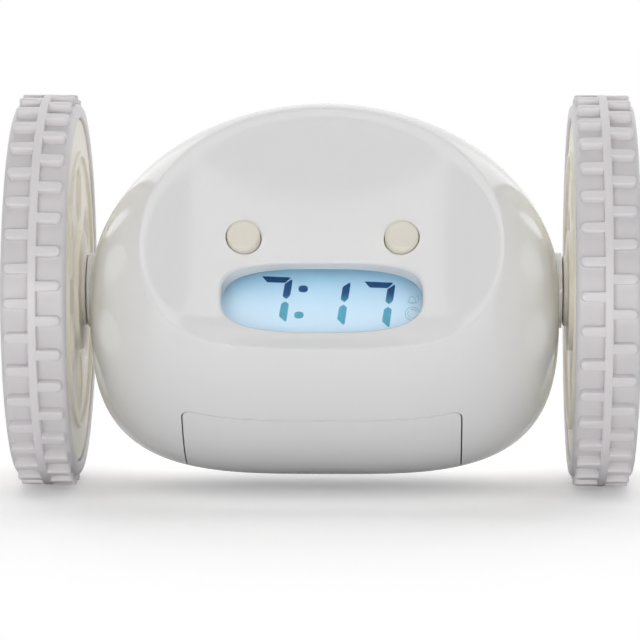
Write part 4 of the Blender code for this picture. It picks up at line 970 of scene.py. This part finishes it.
# Bars of a digit, in millimetres from its upper left corner
BARS = {
    "top": ((0.0, 0.0), (6.14, -0.27), (6.26, -0.54), (5.12, -1.62), (1.21, -1.49)),
    "upper_right": ((6.62, -0.74), (6.77, -1.21), (6.32, -4.73), (5.45, -5.64), (4.64, -4.90),
                    (5.06, -1.89)),
    "lower_right": ((5.24, -6.25), (6.05, -6.89), (5.60, -10.81), (5.36, -11.25), (3.91, -9.79),
                    (4.34, -6.89)),
}
SEVEN = ("top", "upper_right", "lower_right")
ONE = ("upper_right", "lower_right")
DIGITS = ((SEVEN, -13.43, -6.11), (ONE, -0.64, -6.85), (SEVEN, 9.20, -7.36))
COLON = ((-4.28, -9.22), (-5.12, -15.67))
COLON_SIZE = (1.05, 0.85)
INK_CORNER = 0.06
SIGN_LINE = 0.16
BELL_AT = (19.7, -11.9)
RING_AT = (19.8, -15.3)


def printed(outline):
    """Ink of one closed outline, given in millimetres, on the display's front glass."""
    low = PANEL_T + 0.00002 + GLASS_THICKNESS
    return plate([(u / 1000, v / 1000) for u, v in outline], low, low + INK_THICKNESS, FACE)


def stroke(points):
    """Ink along a line, as one thin ribbon."""
    line = [Vector(p) for p in points]
    left, right = [], []
    for k, point in enumerate(line):
        along = (line[min(k + 1, len(line) - 1)] - line[max(k - 1, 0)]).normalized()
        across = Vector((-along.y, along.x)) * SIGN_LINE / 2
        left.append(tuple(point + across))
        right.append(tuple(point - across))
    return printed(left + right[::-1])


def arc(centre, radius, start, end, steps=24):
    angles = [math.radians(start + (end - start) * k / steps) for k in range(steps + 1)]
    return [(centre[0] + radius * math.cos(a), centre[1] + radius * math.sin(a)) for a in angles]


class CLOCK_OT_display(bpy.types.Operator):
    """Lay the display's front glass and print the time and two small signs on it"""
    bl_idname = "clock.display"
    bl_label = "Display"

    def execute(self, context):
        half_u, half_v, low = GLASS_WIDTH / 2, GLASS_HEIGHT / 2, PANEL_T + 0.00001
        outline = rounded_rectangle(-half_u, WINDOW_S - half_v, half_u, WINDOW_S + half_v, 0.0004)
        piece_from("display_front_glass", plate(outline, low, low + GLASS_THICKNESS, FACE), "body",
                   "lcd_glass")
        ink = []
        for bars, u, v in DIGITS:
            for bar in bars:
                corners = [(u + du, v + dv) for du, dv in BARS[bar]]
                ink.append(printed(soften(corners, INK_CORNER, 3, closed=True)))
        for u, v in COLON:
            ink.append(printed(superellipse(COLON_SIZE[0], COLON_SIZE[1], 2.4, 40, v)))
            ink[-1].transform(Matrix.Translation((u / 1000, 0, 0)))
        piece_from("display_digits", joined(*ink), "body", "lcd_glass", finish="digits")
        piece_from("display_signs", joined(*self.signs()), "body", "lcd_glass", finish="signs")
        return {"FINISHED"}

    def signs(self):
        """A small bell, and a broken ring inside a ring."""
        u, v = BELL_AT
        bell = [(u - 0.95, v - 0.60), (u - 0.70, v - 0.20), (u - 0.62, v + 0.35), (u - 0.30, v + 0.80),
                (u + 0.10, v + 0.88), (u + 0.50, v + 0.66), (u + 0.66, v + 0.20), (u + 0.72, v - 0.30),
                (u + 1.00, v - 0.72)]
        lines = [bell, [bell[0], bell[-1]], arc((u, v - 0.66), 0.28, 190, 350, 8),
                 arc((u + 0.1, v + 0.2), 1.35, -20, 50, 10),
                 arc(RING_AT, 1.60, 0, 179) + arc(RING_AT, 1.60, 180, 359)]
        lines += [arc(RING_AT, 1.05, start, start + 95, 12) for start in (20, 140, 260)]
        return [stroke(line) for line in lines]


# Buttons

def foot(node, place):
    """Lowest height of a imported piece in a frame."""
    inverse = place.inverted()
    return min((inverse @ vert.co).z for vert in frame["nodes"][node].data.vertices)


def round_button(name, x, y, place, radius, edge, cap_top, flange_top, body, replaced):
    """Slightly crowned cap on a flange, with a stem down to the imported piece's foot."""
    flange, flange_low, low = radius + FLANGE, flange_top - FLANGE, foot(replaced, place)
    profile = soften([(0.0, cap_top), (radius, cap_top - 0.00012), (radius, flange_top),
                      (flange, flange_top), (flange, flange_low), (radius / 2, flange_low),
                      (radius / 2, low), (0.0, low)],
                     [0, edge, 0.0001, 0.0002, 0.0002, 0.0001, 0.0002, 0], 6)
    bm = turned(profile, 64, place @ Matrix.Translation((x, y, 0.0)))
    return piece_from(name, bm, body, "cream_plastic", [replaced])


class CLOCK_OT_buttons(bpy.types.Operator):
    """Turn the two round buttons of the face and the two at the rear"""
    bl_idname = "clock.buttons"
    bl_label = "Round buttons"

    def execute(self, context):
        edge = context.scene.clock_sizes.button_edge
        wall = dish_t(EYE_X, EYE_S)
        for side, word in ((-1, "left"), (1, "right")):
            round_button(word + "_eye_cap", side * EYE_X, EYE_S, FACE, EYE_RADIUS, edge,
                         wall + EYE_PROUD, wall - WALL - EYE_FLANGE_DROP, word + "_eye",
                         word + "_eye_button")
        for side, word in ((-1, "hour"), (1, "minute")):
            round_button(word + "_cap", side * SET_BUTTON_X, SET_BUTTON_Z, REAR, SET_BUTTON_RADIUS,
                         edge * 0.7, SET_BUTTON_Y, SET_BUTTON_Y - WALL - SET_FLANGE_DROP, word,
                         word + "_button")
        return {"FINISHED"}


class CLOCK_OT_snooze(bpy.types.Operator):
    """Form the long snooze button, crowned like the body under it"""
    bl_idname = "clock.snooze"
    bl_label = "Snooze button"

    def execute(self, context):
        softness = context.scene.clock_sizes.rim_softness
        heights = np.linspace(*SKIN, 60)

        def crown(u, v):
            """Height of the grown body surface over a point of the button's plane."""
            world = np.array([SNOOZE @ Vector((u, v, h)) - CENTRE for h in heights])
            length = np.linalg.norm(world, axis=1)
            off = length - body_reach(world / length[:, None], -SNOOZE_PROUD, softness)
            k = int(np.argmax(off > 0))
            share = off[k - 1] / (off[k - 1] - off[k])
            return heights[k - 1] + share * (heights[k] - heights[k - 1])

        stem = circle_outline(0, 0, SNOOZE_STEM_RADIUS, 96)
        wide, top = snooze_outline(FLANGE), SNOOZE_FLANGE_TOP
        rings = [at_height(stem, foot("snooze_button", SNOOZE)), at_height(stem, top - FLANGE),
                 at_height(wide, top - FLANGE), at_height(wide, top),
                 at_height(snooze_outline(0.0), top + 0.00002)]
        for degrees in (0, 20, 40, 60, 80, 90):
            angle = math.radians(degrees)
            outline = snooze_outline(-SNOOZE_EDGE * (1 - math.cos(angle)))
            drop = SNOOZE_EDGE * (1 - math.sin(angle))
            rings.append([(u, v, crown(u, v) - drop) for u, v in outline])
        for share in (0.88, 0.72, 0.54, 0.36, 0.18, 0.04):
            ring = [(u * share, v * share) for u, v in snooze_outline(-SNOOZE_EDGE)]
            rings.append([(u, v, crown(u, v)) for u, v in ring])
        piece_from("snooze_cap", loft(rings, SNOOZE), "snooze", "cream_plastic", ["snooze_button"])
        return {"FINISHED"}


# Wheels

class CLOCK_OT_wheels(bpy.types.Operator):
    """Turn the wheel discs with their holes, lips and hubs, and the hub caps"""
    bl_idname = "clock.wheels"
    bl_label = "Wheels"

    def execute(self, context):
        rim_out = TYRE_BORE_RADIUS - PART_GAP
        rim_in = rim_out - WHEEL_RIM_WALL
        web_end = WHEEL_INNER_X + WHEEL_WEB
        lip_x = WHEEL_INNER_X - LIP_HEIGHT
        corners = [(HUB_BORE, HUB_END_X), (HUB_OUTER_RADIUS, HUB_END_X), (HUB_OUTER_RADIUS, web_end),
                   (rim_in, web_end), (rim_in, WHEEL_OUTER_X), (rim_out, WHEEL_OUTER_X),
                   (rim_out, WHEEL_INNER_X), (LIP_RADIUS + LIP_WIDTH, WHEEL_INNER_X),
                   (LIP_RADIUS + LIP_WIDTH, lip_x), (LIP_RADIUS, lip_x), (LIP_RADIUS, WHEEL_INNER_X),
                   (HUB_FLANGE_RADIUS, WHEEL_INNER_X), (HUB_FLANGE_RADIUS, HUB_FLANGE_X),
                   (HUB_RADIUS, HUB_FLANGE_X), (HUB_RADIUS, HUB_START_X), (HUB_BORE, HUB_START_X)]
        radii = [0.0001, 0.0003, 0.0006, 0.0006, 0.0004, 0.0003, 0.0003, 0.0002, 0.0003, 0.0003,
                 0.0002, 0.0003, 0.0003, 0.0003, 0.0004, 0.0001]
        profile = soften(corners, radii, 3, closed=True)
        profile.append(profile[0])
        wheel = piece_from("wheel", turned(profile, 160, ALONG_AXLE))
        cutters = []
        flare, spare = 0.0003, 0.0020
        wide, low, high = HOLE_RADIUS + flare + spare, WHEEL_INNER_X - spare, web_end + spare
        sides = [(0.0, low), (wide, low), (HOLE_RADIUS, WHEEL_INNER_X + flare),
                 (HOLE_RADIUS, web_end - flare), (wide, high), (0.0, high)]
        for k in range(HOLE_COUNT):
            angle = math.pi / 2 + 2 * math.pi * k / HOLE_COUNT
            y, z = HOLE_CIRCLE_RADIUS * math.cos(angle), HOLE_CIRCLE_RADIUS * math.sin(angle)
            cutters.append(turned(sides, 48, ALONG_AXLE @ Matrix.Translation((y, z, 0.0))))
        cut(wheel, joined(*cutters))
        low, high, outer = HUB_END_X + PART_GAP, WHEEL_OUTER_X, HUB_OUTER_RADIUS
        cap_profile = soften([(0.0, high), (outer, high - 0.0002), (outer, low),
                              (outer - CAP_WALL, low), (outer - CAP_WALL, high - CAP_WALL),
                              (0.0, high - CAP_WALL)], [0, 0.0008, 0.0002, 0.0002, 0.0004, 0], 5)
        for side, word in ((1, "right"), (-1, "left")):
            disc = placed(word + "_wheel_disc", wheel.data.copy())
            cap = turned(cap_profile, 96, ALONG_AXLE)
            if side < 0:
                disc.data.transform(MIRROR_X)
                disc.data.flip_normals()
                cap.transform(MIRROR_X)
                bmesh.ops.reverse_faces(cap, faces=cap.faces)
            finish_piece(disc, word + "_wheel_set", "cream_plastic", [word + "_wheel"], 28.0)
            piece_from(word + "_cap", cap, word + "_wheel_set", "cream_plastic",
                       [word + "_hub_cap"])
        bpy.data.objects.remove(wheel, do_unlink=True)
        return {"FINISHED"}


class CLOCK_OT_tyres(bpy.types.Operator):
    """Mould the tyres: a middle rib and two rows of round-ended lugs set half a pitch apart"""
    bl_idname = "clock.tyres"
    bl_label = "Tyres"

    def execute(self, context):
        bevel = context.scene.clock_sizes.lug_bevel
        half, rib = TYRE_WIDTH / 2, RIB_WIDTH / 2
        top, floor, bore = TYRE_RADIUS, TYRE_RADIUS - TREAD_DEPTH, TYRE_BORE_RADIUS
        corners = [(bore, half), (floor, half), (floor, rib), (top, rib), (top, -rib), (floor, -rib),
                   (floor, -half), (bore, -half)]
        profile = soften(corners, [0.0004, 0.0013, 0.0003, bevel, bevel, 0.0003, 0.0013, 0.0004], 4,
                         closed=True)
        profile.append(profile[0])
        for side, word in ((1, "right"), (-1, "left")):
            place = ALONG_AXLE @ Matrix.Translation((0, 0, side * TYRE_MIDDLE_X))
            tyre = piece_from(word + "_tyre_tread", turned(profile, 180, place))
            lugs = []
            pitch = 2 * math.pi / LUGS_IN_ROW
            for row in (-1, 1):
                for k in range(LUGS_IN_ROW):
                    angle = LUG_TURNS[word] + k * pitch + (pitch / 2 if row > 0 else 0.0)
                    seat = Matrix.Rotation(angle, 4, "Z") @ Matrix.Rotation(math.pi / 2, 4, "Y")
                    if row * side > 0:
                        seat = seat @ Matrix.Rotation(math.pi, 4, "Z")
                    lugs.append(place @ seat)
            cut(tyre, self.lugs(lugs, rib, bevel), "UNION")
            finish_piece(tyre, word + "_wheel_set", "white_rubber", [word + "_tyre"], 40.0)
        return {"FINISHED"}

    def lug_outline(self, rib):
        """Seen from above: square at the rib, round at the outer end."""
        end, radius = rib + LUG_LENGTH, LUG_WIDTH / 2
        points = [(rib - LUG_ROOT, radius), (rib - LUG_ROOT, -radius)]
        for k in range(9):
            angle = -math.pi / 2 + math.pi * k / 8
            points.append((end - radius + radius * math.cos(angle), radius * math.sin(angle)))
        return points

    def lugs(self, places, rib, bevel):
        master = plate(self.lug_outline(rib), TYRE_RADIUS - TREAD_DEPTH - LUG_ROOT,
                       TYRE_RADIUS - LUG_UNDER_RIB, Matrix.Identity(4), bevel)
        copies = [master.copy() for _ in places]
        master.free()
        for copy, place in zip(copies, places):
            copy.transform(place)
        return joined(*copies)


# Stage

def look(thing, place, direction):
    """Stand a lamp or camera at a place and turn it to a direction."""
    thing.location = place
    thing.rotation_euler = direction.to_track_quat("-Z", "Y").to_euler()


def light(name, place, aim, width, height, power):
    data = bpy.data.lights.new(name, "AREA")
    data.shape = "RECTANGLE"
    data.size, data.size_y, data.energy = width, height, power
    look(placed(name, data), Vector(place), Vector(aim) - Vector(place))


class CLOCK_OT_stage(bpy.types.Operator):
    """Set the floor, the soft lights, the surroundings and the camera"""
    bl_idname = "clock.stage"
    bl_label = "Stage"

    def execute(self, context):
        scene = context.scene
        self.camera(scene)
        self.floor()
        self.surroundings(scene)
        for name, place, aim_z, width, height, power in LAMPS:
            light(name, place, (0.0, 0.0, aim_z), width, height, power)
        scene.view_settings.view_transform = "Standard"
        return {"FINISHED"}

    def camera(self, scene):
        yaw, rise = math.radians(VIEW_YAW), math.radians(VIEW_RISE)
        back = Vector((math.sin(yaw) * math.cos(rise), -math.cos(yaw) * math.cos(rise), math.sin(rise)))
        data = bpy.data.cameras.new("photo_view")
        data.sensor_width = SENSOR_WIDTH
        data.lens = FOCAL_PIXELS * SENSOR_WIDTH / PICTURE_PIXELS
        data.shift_x = (PICTURE_PIXELS / 2 - AXLE_PIXEL[0]) / PICTURE_PIXELS
        data.shift_y = (AXLE_PIXEL[1] - PICTURE_PIXELS / 2) / PICTURE_PIXELS
        scene.camera = placed("photo_view", data)
        look(scene.camera, CENTRE + back * VIEW_DISTANCE, -back)

    def floor(self):
        """White sweep: lit and shaded near the clock, plain white to the camera further out."""
        bm = bmesh.new()
        bmesh.ops.create_grid(bm, x_segments=1, y_segments=1, size=6.0)
        floor = piece_from("floor", bm)
        material, tree, place = new_finish("white_sweep", Roughness=0.9, Specular_IOR_Level=0.2,
                                           Emission_Color=WHITE)
        rays = add_node(tree, "ShaderNodeLightPath").outputs
        camera = rays["Is Camera Ray"]
        tone = add_node(tree, "ShaderNodeMix", {0: camera, 6: (*srgb("EDEDEE"), 1.0), 7: WHITE},
                        data_type="RGBA")
        feed(tree, "Base Color", tone.outputs[2])
        lift = add_node(tree, "ShaderNodeMath", {0: camera, 1: FLOOR_LIFT}, operation="MULTIPLY")
        feed(tree, "Emission Strength", lift.outputs["Value"])
        away = add_node(tree, "ShaderNodeVectorMath", {0: place}, operation="LENGTH").outputs["Value"]
        share = add_node(tree, "ShaderNodeMapRange",
                         {"Value": away, "From Min": FLOOR_SHADED, "From Max": FLOOR_WHITE},
                         interpolation_type="SMOOTHSTEP").outputs["Result"]
        seen = camera
        for ray in ("Is Glossy Ray", "Is Transmission Ray"):
            seen = add_node(tree, "ShaderNodeMath", {0: seen, 1: rays[ray]},
                            operation="MAXIMUM").outputs["Value"]
        share = add_node(tree, "ShaderNodeMath", {0: share, 1: seen},
                         operation="MULTIPLY").outputs["Value"]
        white = add_node(tree, "ShaderNodeEmission", {"Color": WHITE, "Strength": 1.0})
        mixed = add_node(tree, "ShaderNodeMixShader",
                         {0: share, 1: tree.nodes["Principled BSDF"].outputs["BSDF"],
                          2: white.outputs["Emission"]})
        tree.links.new(mixed.outputs["Shader"], tree.nodes["Material Output"].inputs["Surface"])
        floor.data.materials.append(material)

    def surroundings(self, scene):
        """White room: bright behind the clock, dim in front of it, plain white to the camera."""
        world = bpy.data.worlds.new("studio")
        world.use_nodes = True
        tree = world.node_tree
        background = tree.nodes["Background"]
        background.inputs["Color"].default_value = WHITE
        place = add_node(tree, "ShaderNodeTexCoord").outputs["Generated"]
        depth = add_node(tree, "ShaderNodeSeparateXYZ", {"Vector": place}).outputs["Y"]
        rooms = [add_node(tree, "ShaderNodeMapRange",
                          {"Value": depth, "From Min": low, "From Max": high, "To Min": front,
                           "To Max": back}, interpolation_type="SMOOTHSTEP").outputs["Result"]
                 for low, high, front, back in ((0.05, 0.35, ROOM_FRONT, ROOM_BACK),
                                                (-0.5, 0.2, ROOM_GLOSS_FRONT, 1.0))]
        rays = add_node(tree, "ShaderNodeLightPath").outputs
        gloss = add_node(tree, "ShaderNodeMix", {0: rays["Is Glossy Ray"], 2: rooms[0], 3: rooms[1]})
        seen = add_node(tree, "ShaderNodeMath",
                        {0: rays["Is Camera Ray"], 1: rays["Is Transmission Ray"]}, operation="MAXIMUM")
        level = add_node(tree, "ShaderNodeMix", {0: seen.outputs["Value"], 2: gloss.outputs[0], 3: 1.0})
        tree.links.new(level.outputs[0], background.inputs["Strength"])
        scene.world = world


class CLOCK_PT_panel(bpy.types.Panel):
    """Sizes, colours and steps of the clock"""
    bl_idname = "CLOCK_PT_panel"
    bl_label = "Rolling alarm clock"
    bl_space_type = "VIEW_3D"
    bl_region_type = "UI"
    bl_category = "Clock"

    def draw(self, context):
        for group in (context.scene.clock_sizes, context.scene.clock_colours):
            for name in group.__annotations__:
                self.layout.prop(group, name)
        for step in STEPS:
            self.layout.operator(step.bl_idname)


STEPS = (CLOCK_OT_finishes, CLOCK_OT_body, CLOCK_OT_battery_door, CLOCK_OT_display, CLOCK_OT_buttons,
         CLOCK_OT_snooze, CLOCK_OT_wheels, CLOCK_OT_tyres, CLOCK_OT_stage)
CLASSES = (ClockSizes, ClockColours, *STEPS, CLOCK_PT_panel)


def register():
    for item in CLASSES:
        bpy.utils.register_class(item)
    bpy.types.Scene.clock_sizes = bpy.props.PointerProperty(type=ClockSizes)
    bpy.types.Scene.clock_colours = bpy.props.PointerProperty(type=ClockColours)


def unregister():
    del bpy.types.Scene.clock_colours
    del bpy.types.Scene.clock_sizes
    for item in reversed(CLASSES):
        bpy.utils.unregister_class(item)


def main():
    register()
    bpy.ops.clock.finishes()
    bpy.ops.clock.body()
    bpy.ops.clock.battery_door()
    bpy.ops.clock.display()
    bpy.ops.clock.buttons()
    bpy.ops.clock.snooze()
    bpy.ops.clock.wheels()
    bpy.ops.clock.tyres()
    bpy.ops.clock.stage()


if __name__ == "__main__":
    main()
